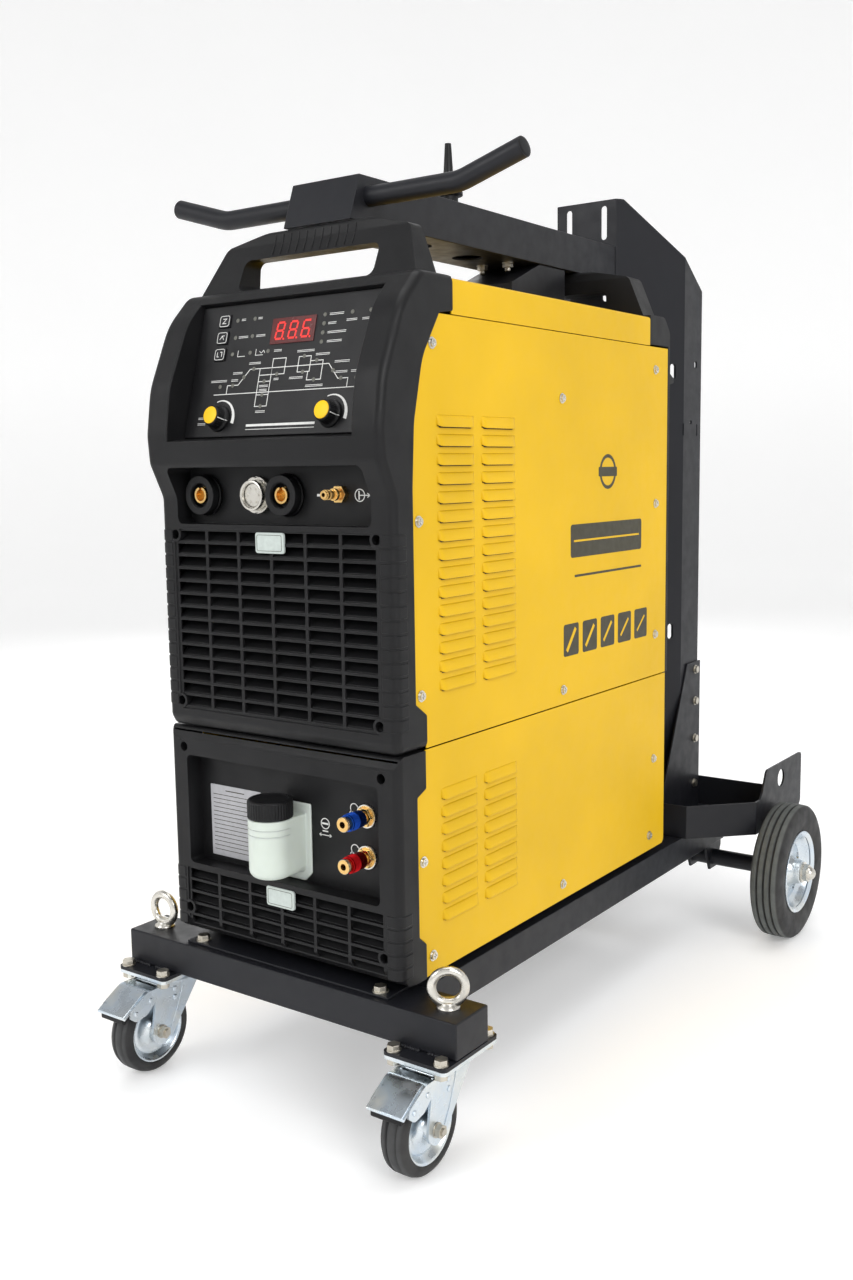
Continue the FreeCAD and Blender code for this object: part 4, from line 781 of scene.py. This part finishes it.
# short bars stand where words would be
for a, b, wide in (
        (-66.5, 57.3, 6), (-41.5, 57.3, 6), (-63, 37.2, 14), (-37, 37.2, 13),
        (-8, 18.4, 11), (68, 53.5, 19), (63.5, 43.6, 11), (71.5, 33.6, 25),
        (70, 23.8, 20), (89.6, 45.2, 14), (111.5, 45.0, 16), (-39.2, 6, 17),
        (-63, -4, 14), (-90, -12, 24), (-66, -12, 10), (-21.3, -20.5, 13),
        (-21.3, -25, 11), (-4.3, -13.6, 7), (-20.5, -49, 14), (32.5, 15.5, 24),
        (57, 10.5, 19), (85, 1, 20), (24, -13.6, 19), (51, -23.4, 24), (86, -10.3, 16),
        (107, -10.3, 16), (-107, -54, 12), (-107, -60.5, 12), (119, -53.5, 8),
        (119, -60, 8)):
    for lift in (-0.775, 0.775):
        line(bm, panel, [(a - wide / 2, b + lift), (a + wide / 2, b + lift)], 0.55)
line(bm, panel, [(-38, -64), (60, -64)], 2.6)
line(bm, panel, [(-38, -68.5), (60, -68.5)], 0.7)
for column in (-65.5, -38.5):
    line(bm, panel, [(column - 2, 22), (column - 2, 15), (column + 9, 15)], 0.6)
line(bm, panel, [(-35, 19), (-32, 17), (-29, 20), (-27, 17)], 0.6)
new_piece("panel_markings", bm, "white_print")

bm = bmesh.new()
for x in (-DIAL_REACH, DIAL_REACH):
    outer, inner = [], []
    for i in range(13):
        turn = math.radians(112 - 128 * i / 12)
        thick = 1.0 + 3.6 * (i / 12) ** 1.3
        for points, radius in ((outer, 20.5 + thick / 2), (inner, 20.5 - thick / 2)):
            points.append((x + radius * math.cos(turn), DIAL_DROP + radius * math.sin(turn)))
    band(bm, panel, outer, inner, 0, 0.2)
new_piece("dial_scales", bm, "white_print")

bm = bmesh.new()
for a, b in ((-75.5, 57), (-49.5, 57.2), (-75, 37.2), (-49.5, 37.3), (-75.9, 18.4),
             (-49, 18.4), (-22.4, 18.6), (51.9, 53.6), (52.2, 43.8), (52.3, 33.8),
             (52.4, 23.8), (89.2, 53.5), (113.6, 53.6), (-39.4, -0.4), (-67.7, -17.8),
             (-52.5, -9), (-4.2, -8.1), (-21.3, -15.4), (31.6, 9.6), (49.9, 4),
             (32.4, -7.7), (49.6, -17), (86.6, -17.3), (107, -17.6), (74.5, -8.4),
             (-86.8, -18.4), (-21.3, -30.2), (-21.3, -43)):
    centre = station(panel.point(a, b))
    lathe(bm, [(0, 2.3), (0.35, 2.3), (0.4, 1.9), (0.75, 1.5), (0.95, 0.8), (1.0, 0)],
          centre, out_way, 18)
new_piece("panel_lamps", bm, "key_grey", material=lamp_off)

# each button: a thin frame and a simple sign on the key
signs = {
    "upper": [[(-2.6, 2.6), (2.6, 2.6), (-2.6, -2.6), (2.6, -2.6)]],
    "middle": [[(-3.4, -2), (0, 2.2), (3.4, 2.2)], [(0, 2.2), (2.6, -2.4)]],
    "lower": [[(-3.4, 2.6), (-3.4, -2.6), (-0.8, -2.6)], [(0.8, 2.6), (3.4, 2.6), (3.4, -2.6)]],
}
for name, strokes in signs.items():
    key = middle(f"button_{name}")
    face_of = Plane(tuple(key + out_way * 1.26), (1, 0, 0), up_way, out_way)
    bm = bmesh.new()
    line(bm, face_of, rounded(-7, 7, -6, 6, 2.4), 0.6, closed=True)
    for stroke in strokes:
        line(bm, face_of, stroke, 0.7)
    new_piece(f"key_sign_{name}", bm, "white_print", body=f"button_{name}")

# three seven-segment digits with points
window = middle("display_window")
glass = Plane(tuple(window + out_way * 0.6), (1, 0, 0), up_way, out_way)
SEGMENTS = {"a": ((-4.2, 9), (4.2, 9)), "b": ((4.9, 8.2), (4.9, 0.8)),
            "c": ((4.9, -0.8), (4.9, -8.2)), "d": ((4.2, -9), (-4.2, -9)),
            "e": ((-4.9, -8.2), (-4.9, -0.8)), "f": ((-4.9, 0.8), (-4.9, 8.2)),
            "g": ((-4.2, 0), (4.2, 0))}
bm = bmesh.new()
for column, lit in ((-18, "abcdefg"), (0.5, "abcdefg"), (19, "acdefg")):
    for key in lit:
        ends = [(column + a + 0.14 * b, b) for a, b in SEGMENTS[key]]
        line(bm, glass, ends, 2.2, 0, 0.15)
    prism(bm, glass, circle(column + 7.6 - 1.2, -9.4, 1.2, 14), 0, 0.15)
new_piece("display_digits", bm, "red_window", material=lit_red)



def grip(along, radius, turn):
    return radius - (0.45 * (0.5 + 0.5 * math.cos(30 * turn)) if 5 < along < 14 else 0)


for word, side in SIDES:
    x = DIAL_REACH * side
    centre = station(panel.point(x, DIAL_DROP))
    bm = bmesh.new()
    lathe(bm, [(-1.6, 0), (-1.6, 3), (0.4, 3), (0.4, 14.6), (1.0, 15), (2.6, 14.5),
               (3.6, 13.0), (4.6, 12.3), (6, 12.1), (10, 11.8), (13.2, 11.5), (14.3, 10.9),
               (14.9, 10.2), (15.0, 9.8), (14.4, 9.6), (14.4, 0)],
          centre, out_way, 180, flutes=grip)
    new_piece(f"dial_{word}", bm, "black_plastic", body=f"knob_{word}",
              replaced=[f"knob_{word}"])
    bm = bmesh.new()
    lathe(bm, [(14.0, 0), (14.0, 9.5), (15.1, 9.6), (15.5, 9.3), (15.7, 8.6), (15.75, 0)],
          centre, out_way, 72)
    new_piece(f"dial_cap_{word}", bm, "yellow_cap", body=f"knob_{word}")
    bm = bmesh.new()
    prism(bm, panel, [(x + 12.4, -58.1), (x + 14.4, -58.6), (x + 14.5, -57.8),
                      (x + 12.5, -57.3)], 2.4, 3.9)
    prism(bm, panel, [(x + 11.3, -58.2), (x + 12.2, -58.4), (x + 12.3, -57.4),
                      (x + 11.4, -57.2)], 4.5, 14.3)
    new_piece(f"dial_pointer_{word}", bm, "white_print", body=f"knob_{word}")


# ---------------------------------------------------------------- front details

floor_plane = Plane((0, RECESS_FLOOR, 0), (1, 0, 0), (0, 0, 1), (0, -1, 0))
bm = bmesh.new()
line(bm, floor_plane, [(50, SOCKET_Z), (63, SOCKET_Z)], 2.6)
loop_ring(bm, floor_plane, 108, SOCKET_Z, 6.3, 1.0)
line(bm, floor_plane, [(107, SOCKET_Z + 4.5), (107, SOCKET_Z - 4.5)], 1.6)
line(bm, floor_plane, [(108, SOCKET_Z), (121, SOCKET_Z)], 1.0)
line(bm, floor_plane, [(118, SOCKET_Z + 2.2), (121.4, SOCKET_Z), (118, SOCKET_Z - 2.2)], 0.9)
loop_ring(bm, floor_plane, 49.5, 334.5, 5.8, 1.0)
line(bm, floor_plane, [(45, 334.5), (54, 334.5)], 2.0)
line(bm, floor_plane, [(45.5, 326), (53.5, 326)], 1.4)
line(bm, floor_plane, [(41, 321.5), (58, 321.5)], 0.9)
for tip, way in ((41, 1), (58, -1)):
    line(bm, floor_plane, [(tip + 2.4 * way, 323.2), (tip, 321.5), (tip + 2.4 * way, 319.8)], 0.8)
for z in COUPLER_HEIGHTS.values():
    line(bm, floor_plane, circle(91, z + 6, 5.2, 14, 20, 250), 1.0)
    line(bm, floor_plane, [(84.5, z + 0.2), (86.6, z + 3.4), (88.6, z + 0.4)], 0.8)
new_piece("recess_signs", bm, "white_print")

bm = bmesh.new()
label_low, label_high = 271, 356
prism(bm, floor_plane, rounded(-126, -46, label_low, label_high, 1.0), 0, 0.25)
new_piece("note_label", bm, "badge_plate", material=label_paper)
bm = bmesh.new()
line(bm, floor_plane, [(-102, 350), (-72, 350)], 1.2, 0.25, 0.33)
for row in range(14):
    z = 344.5 - row * 5.1
    end = -50 - (row * 37 % 17)
    line(bm, floor_plane, [(-122, z), (end, z)], 0.75, 0.25, 0.33)
new_piece("note_lines", bm, "dark_print")

for name, z0, z1 in (("upper", 631, 653.5), ("lower", 235.5, 258)):
    front = Plane((0, -32.4, 0), (1, 0, 0), (0, 0, 1), (0, -1, 0))
    bm = bmesh.new()
    prism(bm, front, rounded(-20.5, 20.5, z0, z1, 3.0), -1.0, 2.6)
    new_piece(f"blank_badge_{name}", bm, "badge_plate", bevel=0.8)
    bm = bmesh.new()
    line(bm, front, rounded(-17.8, 17.8, z0 + 2.7, z1 - 2.7, 2.0), 0.5, 2.55, 2.72,
         closed=True)
    new_piece(f"badge_border_{name}", bm, "dark_print")

# torch socket: scalloped flange ring and its two screws
bm = bmesh.new()
centre = (TORCH_X, RECESS_FLOOR, SOCKET_Z)


def scallop(along, radius, turn):
    return radius - (1.3 * max(0.0, math.cos(4 * turn)) ** 6 if radius > 19 else 0)


lathe(bm, [(3.9, 15.0), (3.9, 20.4), (4.6, 20.7), (5.6, 20.1), (5.8, 16.2), (5.2, 15.0)],
      centre, (0, -1, 0), 120, closed=True, flutes=scallop)
lathe(bm, [(13.6, 13.7), (13.6, 16.4), (14.3, 16.4), (14.6, 15.8), (14.6, 14.1),
           (14.3, 13.7)], centre, (0, -1, 0), 96, closed=True)
new_piece("torch_socket_ring", bm, "bright_steel")
bm = bmesh.new()
for turn in (50, 230):
    x = TORCH_X + 18.3 * math.cos(math.radians(turn))
    z = SOCKET_Z + 18.3 * math.sin(math.radians(turn))
    lathe(bm, [(5.5, 0), (5.5, 1.9), (6.4, 1.8), (6.9, 1.1), (7.0, 0)],
          (x, RECESS_FLOOR, z), (0, -1, 0), 20)
new_piece("torch_socket_screws", bm, "plated_bolts")

# large threaded collars of the weld sockets
bm = bmesh.new()
for x in WELD_SOCKETS:
    lathe(bm, [(0.0, 22.0), (2.5, 23.4), (4.0, 23.4), (5.0, 22.2), (8, 22.15)],
          (x, RECESS_FLOOR, SOCKET_Z), (0, -1, 0), 72)
    for along in range(3):
        lathe(bm, [(12.2 + along, 13.9), (12.6 + along, 13.2), (13.0 + along, 13.9)],
              (x, RECESS_FLOOR, SOCKET_Z), (0, -1, 0), 64)
bmesh.ops.solidify(bm, geom=list(bm.faces), thickness=0.4 * MM)
new_piece("weld_socket_collars", bm, "black_plastic")

# nickel washers and hex shoulders of the coolant couplers
bm = bmesh.new()
for z in COUPLER_HEIGHTS.values():
    lathe(bm, [(0, 8.0), (0, 13.2), (1.2, 13.4), (2.2, 12.8), (2.2, 8.0)],
          (COUPLER_X, RECESS_FLOOR, z), (0, -1, 0), 48, closed=True)
    for along in (37.0, 39.0):
        lathe(bm, [(along, 6.0), (along, 7.9), (along + 0.7, 8.1), (along + 1.4, 7.9),
                   (along + 1.4, 6.0)], (COUPLER_X, RECESS_FLOOR, z), (0, -1, 0), 48, closed=True)
new_piece("coupler_washers", bm, "bright_steel")
for word, z in COUPLER_HEIGHTS.items():
    front = station(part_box(f"coupler_sleeve_{word}")[0]).y
    bm = bmesh.new()
    for along in range(6):
        lathe(bm, [(-2.5 - along * 1.6, 9.0), (-2.9 - along * 1.6, 9.55),
                   (-3.3 - along * 1.6, 9.0)],
              (COUPLER_X, front, z), (0, -1, 0), 48, closed=True)
    new_piece(f"sleeve_knurl_{word}", bm, f"{word}_sleeve", body=f"coupler_sleeve_{word}")

# mould lines round the bottle
bm = bmesh.new()
for z in (331, 324):
    lathe(bm, [(0, 24.6), (0.4, 25.35), (1.1, 25.35), (1.5, 24.6)],
          (TANK_X, TANK_Y, z), (0, 0, 1), 96, closed=True)
new_piece("tank_mould_lines", bm, "tank_plastic", smooth_angle=60)

# ribbed screw cap
cap = middle("coolant_cap")
cap_low, cap_high = (corner.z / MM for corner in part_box("coolant_cap"))
tall = cap_high - cap_low


def cap_ribs(along, radius, turn):
    inside = radius < 24.2 or not 2 < along < tall - 3
    return radius if inside else radius - 0.9 * (0.5 + 0.5 * math.cos(44 * turn)) ** 2


bm = bmesh.new()
lathe(bm, [(0, 19.6), (0, 24.9), (1.2, 25.3), (2.4, 25.3), (tall - 3.2, 25.3),
           (tall - 2.4, 25.0), (tall - 0.9, 24.0), (tall - 0.15, 22.6), (tall - 0.2, 20.5),
           (tall - 0.9, 19.8), (tall - 1.1, 0)],
      (cap.x, cap.y, cap_low), (0, 0, 1), 264, flutes=cap_ribs)
new_piece("screw_cap", bm, "black_plastic", body="coolant_cap", replaced=["coolant_cap"])


# ---------------------------------------------------------------- side markings

def side_marks(word, side):
    """Plain tiles and bars where a maker would print."""
    plane = side_plane(side)
    starts = [309.5 + i * 48.1 for i in range(5)]
    bm = bmesh.new()
    for start in starts:
        prism(bm, plane, rounded(start, start + 38, 485.5, 525.5, 3.5), 0, INK)
    prism(bm, plane, rounded(327, 521, 607, 648, 4), 0, INK)
    line(bm, plane, [(337, 584), (521, 584)], 3.0, 0, INK)
    loop_ring(bm, plane, 424, 712, 20, 4.5, 0, INK, 48)
    prism(bm, plane, rounded(399, 449, 706, 718, 1.5), 0, 0.14)
    new_piece(f"side_tiles_{word}", bm, "dark_print")
    bm = bmesh.new()
    for i, start in enumerate(starts):
        mid = start + 19
        line(bm, plane, [(mid - 11, 492 + i), (mid + 11, 519 - i)], 5.5 - 0.6 * i, INK, 0.2)
    line(bm, plane, [(335, 627.5), (513, 627.5)], 2.4, INK, 0.2)
    new_piece(f"side_tile_signs_{word}", bm, "yellow_paint")


for word, side in SIDES:
    side_marks(word, side)


# ---------------------------------------------------------------- wheels and casters

PEDAL_PIVOT = (-51, 106)
PEDAL_TRAVEL = math.radians(8)
SOLE_GAP = 0.3

def both_ways(half):
    """A closed profile from its half, mirrored across the middle of a wheel."""
    return half + [(-along, radius) for along, radius in reversed(half)]


def caster_tread(word):
    hub = middle(f"caster_tyre_{word}")
    outer_r = round_radius(f"caster_tyre_{word}")
    half = [(3.4, outer_r - 0.1), (5.2, outer_r - 2.2), (6.0, outer_r - 2.2),
            (7.6, outer_r - 0.2), (11.5, outer_r - 1.4), (14.6, outer_r - 4.4),
            (16.0, outer_r - 8.6), (15.6, 40.2), (14.6, 38.4), (13.5, 38.0)]
    bm = bmesh.new()
    lathe(bm, both_ways(half), hub, (1, 0, 0), 112, closed=True)
    new_piece(f"caster_tread_{word}", bm, "caster_rubber", body=f"caster_wheel_{word}",
              replaced=[f"caster_tyre_{word}"], smooth_angle=50)


def caster_dish(word):
    hub = middle(f"caster_tyre_{word}")
    dish = [(18, 4.06), (18, 8.8), (17.2, 9.9), (12.5, 10.6), (9.2, 12.8), (7.4, 17.5),
            (6.8, 24), (7.6, 26), (7.2, 28), (6.4, 30), (9.6, 33.4), (12.6, 35.0), (14.0, 36.4),
            (14.2, 38.0), (13.2, 38.2)]
    bm = bmesh.new()
    lathe(bm, both_ways(dish), hub, (1, 0, 0), 96, closed=True)
    new_piece(f"caster_dish_{word}", bm, "zinc_plate", body=f"caster_wheel_{word}",
              replaced=[f"caster_rim_{word}"], smooth_angle=50)


def swivel_race(word, side):
    """Domed races under the head plate."""
    bm = bmesh.new()
    lathe(bm, [(-0.2, 26.5), (-1.6, 29.5), (-3.2, 30.6), (-5.4, 30.0), (-6.8, 27.6),
               (-6.8, 21)], (CASTER_X * side, -14.5, 112.4), (0, 0, 1), 72)
    bmesh.ops.solidify(bm, geom=list(bm.faces), thickness=0.5 * MM)
    new_piece(f"swivel_race_{word}", bm, "zinc_plate", body=f"caster_{word}")


def fork_pressings(word, side):
    """Pressed ribs and rivets on the fork's legs."""
    bm = bmesh.new()
    for face in (1, -1):
        x = CASTER_X * side + face * 21.4
        for z in (97, 86):
            lathe(bm, [(0, 0), (0, 3.6), (0.8, 3.42), (1.5, 2.52), (1.8, 0)],
                  (x, -31, z), (face, 0, 0), 24)
        plane = Plane((x, 0, 0), (0, 1, 0), (0, 0, 1), (face, 0, 0))
        line(bm, plane, [(-16, 104), (-20, 90), (-30, 66), (-39, 50)], 3.4, -0.2, 1.0)
    new_piece(f"fork_pressings_{word}", bm, "zinc_plate", body=f"caster_{word}", bevel=0.5)


def brake_pad(word, side, front):
    """Black pad whose sole follows the tyre as it stands to the pressed pedal."""
    hub = middle(f"caster_tyre_{word}")
    offset = Vector((hub.y - PEDAL_PIVOT[0], hub.z - PEDAL_PIVOT[1]))
    offset.rotate(Matrix.Rotation(-PEDAL_TRAVEL, 2))
    tyre_y, tyre_z = Vector(PEDAL_PIVOT) + offset
    reach = round_radius(f"caster_tyre_{word}") + SOLE_GAP
    sole = []
    for y in (front + step for step in (7, 9, 12, 16, 20, 24, 27)):
        sole.append((y, tyre_z + math.sqrt(reach ** 2 - (tyre_y - y) ** 2)))
    bm = bmesh.new()
    prism(bm, lengthwise(CASTER_X * side),
          [(front + 1, 85.6), (front + 1, 80.0), (front + 4, 78.0), *sole,
           (front + 27, 100.5)], -19, 19)
    new_piece(f"brake_pad_{word}", bm, "black_plastic", body=f"pedal_{word}", bevel=1.0)


def brake_lever(word, side, front):
    bm = bmesh.new()
    prism(bm, lengthwise(CASTER_X * side),
          [(front - 0.6, 89.0), (front + 0.6, 87.4), (front + 31, 106.2),
           (front + 37, 108.2), (front + 37, 109.3), (front + 30.6, 107.9)], -21.5, 21.5)
    for face in (1, -1):
        for y, z in ((front + 17, 88), (front + 40, 97)):
            lathe(bm, [(0, 0), (0, 3.2), (0.9, 3.0), (1.5, 2.0), (1.7, 0)],
                  (CASTER_X * side + face * 24.4, y, z), (face, 0, 0), 20)
    new_piece(f"brake_lever_{word}", bm, "zinc_plate", body=f"pedal_{word}", bevel=0.4)


def rear_tread(word):
    """Rear tyre with four tread ribs."""
    r = round_radius(f"rear_tyre_{word}")
    half = [(0.8, r - 3.2), (2.2, r - 0.1), (8.0, r - 0.1), (9.2, r - 3.0), (10.8, r - 3.0),
            (12.2, r - 0.3), (17.4, r - 0.9), (19.8, r - 3.0), (21.8, r - 7.0),
            (22.9, r - 14), (22.9, r - 22), (22.0, r - 30), (20.6, 66.0), (19.4, 63.4),
            (19.6, 61.6), (18, 61)]
    bm = bmesh.new()
    lathe(bm, both_ways(half), middle(f"rear_tyre_{word}"), (1, 0, 0), 144, closed=True)
    new_piece(f"rear_tread_{word}", bm, "wheel_rubber", body=f"rear_wheel_{word}",
              replaced=[f"rear_tyre_{word}"], smooth_angle=50)


def rear_rim_lips(word, side):
    """Rolled rim lips and the bearing cap's ring."""
    hub = middle(f"rear_tyre_{word}")
    centre = (WHEEL_X * side, hub.y, hub.z)
    bm = bmesh.new()
    for face in (1, -1):
        lathe(bm, [(17.0, 56.0), (18.6, 58.5), (19.6, 61.0), (20.8, 62.0), (21.6, 61.0),
                   (21.2, 59.4), (19.4, 57.0), (17.6, 55.0)], centre, (face, 0, 0), 96,
              closed=True)
    lathe(bm, [(22.5, 10.2), (22.5, 17.2), (23.4, 17.6), (24.4, 16.6), (24.4, 10.2)],
          centre, (side, 0, 0), 64, closed=True)
    new_piece(f"rear_rim_lips_{word}", bm, "zinc_plate", body=f"rear_wheel_{word}",
              smooth_angle=50)


for word, side in SIDES:
    pedal_front = station(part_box(f"brake_pedal_{word}")[0]).y
    caster_tread(word)
    caster_dish(word)
    swivel_race(word, side)
    fork_pressings(word, side)
    brake_pad(word, side, pedal_front)
    brake_lever(word, side, pedal_front)
    rear_tread(word)
    rear_rim_lips(word, side)


def weld_bead(name, runs):
    """Overlapping fish-scale blobs along short runs."""
    bm = bmesh.new()
    for start, end, way in runs:
        start, end = Vector(start), Vector(end)
        length = (end - start).length
        steps = max(2, int(length / 3.2))
        for i in range(steps + 1):
            spot = start.lerp(end, i / steps)
            wobble = 0.35 * math.sin(i * 2.4)
            lathe(bm, [(-2.3, 0), (-2.1, 1.7 + wobble), (0, 2.7 + wobble), (1.6, 2.0),
                       (2.4, 0)], tuple(spot), way, 10)
    new_piece(name, bm, "black_paint", smooth_angle=80)


weld_runs = []
for side in (-1, 1):
    weld_runs.append(((side * 176, -44.6, 124.6), (side * 196, -44.6, 124.6), (1, 0, 0)))
    weld_runs.append(((side * 210, -44.6, 124.6), (side * 232, -44.6, 124.6), (1, 0, 0)))
    weld_runs.append(((side * 164.6, 16.6, 130), (side * 164.6, 16.6, 158), (0, 0, 1)))
    weld_runs.append(((side * 164.4, 700, 164.4), (side * 164.4, 724, 164.4), (0, 1, 0)))
    weld_runs.append(((side * 126, 793, 112), (side * 126, 793, 114), (0, 0, 1)))
weld_bead("weld_beads", weld_runs)


def lifting_eye(word, side, turn):
    """Forged ring that thickens into its collar."""
    base_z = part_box(f"eyebolt_{word}")[0].z / MM
    x, y = 213 * side, -14
    ring_radius, wire_radius, steps, around = 17.5, 5.0, 72, 20
    centre = at(x, y, base_z + 22.5)
    along_ring = Vector((math.cos(turn), math.sin(turn), 0))
    through = Vector((-math.sin(turn), math.cos(turn), 0))
    bm = bmesh.new()
    rings = []
    for i in range(steps):
        place = 2 * math.pi * i / steps
        radial = along_ring * math.cos(place) + Vector((0, 0, 1)) * math.sin(place)
        wire = wire_radius + 1.6 * max(0.0, -math.sin(place)) ** 6
        ring = []
        for k in range(around):
            q = 2 * math.pi * k / around
            outward = radial * (ring_radius + wire * math.cos(q))
            ring.append(bm.verts.new(centre + (outward + through * (wire * 0.94 * math.sin(q))) * MM))
        rings.append(ring)
    for first, second in zip(rings, rings[1:] + rings[:1]):
        for k in range(around):
            onward = (k + 1) % around
            bm.faces.new((first[k], second[k], second[onward], first[onward]))
    lathe(bm, [(0, 0), (0, 12.3), (1.0, 12.5), (2.4, 12.2), (4.0, 9.6), (6.4, 8.4), (7.4, 7.4),
               (7.4, 0)], (x, y, base_z), (0, 0, 1), 48)
    new_piece(f"lifting_eye_{word}", bm, "bright_steel", replaced=[f"eyebolt_{word}"],
              smooth_angle=60)


lifting_eye("right", 1, math.radians(35))
lifting_eye("left", -1, 0.0)

# washers, nuts and thread ends that hold the saddle to the arm
bm = bmesh.new()
down = (0, 0, -1)
for x in (-20, 20):
    top = (x, 418, 987)
    lathe(bm, [(0, 0), (0, 7.6), (1.3, 7.6), (1.3, 0)], top, down, 32)
    lathe(bm, [(1.3, 0), (1.3, 6.4), (1.9, 6.9), (6.0, 6.9), (6.8, 6.2), (6.8, 0)], top, down, 6)
    lathe(bm, [(6.8, 0), (6.8, 3.9), (10.4, 3.9), (11.2, 3.2), (11.2, 0)], top, down, 24)
new_piece("saddle_nuts", bm, "plated_bolts")

# end plugs in the handlebar, along the slope of its ends
slope = math.atan2(23, 78)
for word, side in SIDES:
    bm = bmesh.new()
    way = (side * math.cos(slope), 0, math.sin(slope))
    lathe(bm, [(-7, 0), (-7, 8.9), (-0.2, 8.9), (-0.1, 10.4), (0.4, 10.7), (1.2, 9.9),
               (1.6, 8.0), (1.7, 0)], (246 * side, 90, 1038), way, 48)
    new_piece(f"bar_plug_{word}", bm, "black_plastic")


# ---------------------------------------------------------------- stage, light, camera

def studio_material(name, colour, rough):
    tree = Nodes(name)
    tree.link(tree.tones(tree.noise(0.6, 2), [(0.3, shade(colour, 0.985)), (0.7, colour)]),
              tree.shader.inputs["Base Color"])
    tree.shader.inputs["Roughness"].default_value = rough
    tree.shader.inputs["Emission Color"].default_value = (1, 1, 1, 1)
    tree.shader.inputs["Emission Strength"].default_value = 0.22
    return tree.material


def paper_bowl(flat, bend, top, sides=96):
    """A round floor, in metres, that sweeps up into a wall."""
    profile = [(0.0, 0.0), (2.0, 0.0), (4.5, 0.0), (flat, 0.0)]
    for i in range(1, 13):
        angle = math.radians(90 * i / 12)
        profile.append((flat + bend * math.sin(angle), bend - bend * math.cos(angle)))
    profile.append(top)
    bm = bmesh.new()
    rings = []
    for radius, height in profile:
        spots = [(x, y, height) for x, y in circle(0, 0, radius, sides)]
        rings.append([bm.verts.new(spot) for spot in (spots if radius else spots[:1])])
    for first, second in zip(rings, rings[1:]):
        for i in range(sides):
            j = (i + 1) % sides
            if len(first) == 1:
                bm.faces.new((first[0], second[i], second[j]))
            else:
                bm.faces.new((first[i], second[i], second[j], first[j]))
    for face in bm.faces:
        face.smooth = True
    return add_object("floor_sweep", bm)


floor = paper_bowl(6.5, 1.5, (8.3, 6.5))
floor.data.materials.append(studio_material("pale_paper", (0.93, 0.93, 0.93), 0.7))

bpy.context.scene.view_settings.view_transform = "Standard"
world = bpy.data.worlds.new("studio")
bpy.context.scene.world = world
world.use_nodes = True
sky = world.node_tree.nodes["Background"]
sky.inputs["Color"].default_value = (1.0, 1.0, 1.0, 1)
sky.inputs["Strength"].default_value = 0.42


def area_light(name, spot, target, size, power):
    data = bpy.data.lights.new(name, "AREA")
    data.shape = "RECTANGLE"
    data.size, data.size_y = size
    data.energy = power
    lamp = bpy.data.objects.new(name, data)
    bpy.context.scene.collection.objects.link(lamp)
    lamp.location = spot
    way = Vector(target) - Vector(spot)
    lamp.rotation_euler = way.to_track_quat("-Z", "Y").to_euler()


area_light("key_softbox", (3.0, -1.9, 2.4), (0, 0, 0.6), (1.6, 1.8), 58)
area_light("front_softbox", (-1.4, -3.2, 2.2), (0, 0, 0.55), (1.6, 1.4), 30)
area_light("top_softbox", (0.2, -0.2, 3.3), (0, 0, 0.6), (2.2, 2.2), 36)
area_light("rear_softbox", (-2.2, 2.6, 2.0), (0, 0.1, 0.6), (2.0, 2.0), 24)

# the camera stands on this side and looks back along the same line
camera_data = bpy.data.cameras.new("camera")
camera = bpy.data.objects.new("camera", camera_data)
bpy.context.scene.collection.objects.link(camera)
bpy.context.scene.camera = camera
azimuth = math.radians(35.6)
elevation = math.radians(7.4)
roll = math.radians(-0.8)
back = Vector((math.sin(azimuth) * math.cos(elevation),
               -math.cos(azimuth) * math.cos(elevation), math.sin(elevation)))
level = Vector((math.cos(azimuth), math.sin(azimuth), 0))
upward = back.cross(level)
right = level * math.cos(roll) + upward * math.sin(roll)
top = upward * math.cos(roll) - level * math.sin(roll)
pose = Matrix((right, top, back)).transposed().to_4x4()
pose.translation = at(928.7, -1030.0, 721.3)
camera.matrix_world = pose
camera_data.sensor_fit = "VERTICAL"
camera_data.sensor_height = 36.0
camera_data.lens = 35.32
camera_data.shift_x = -0.0059
camera_data.shift_y = -0.0080
camera_data.clip_end = 50.0
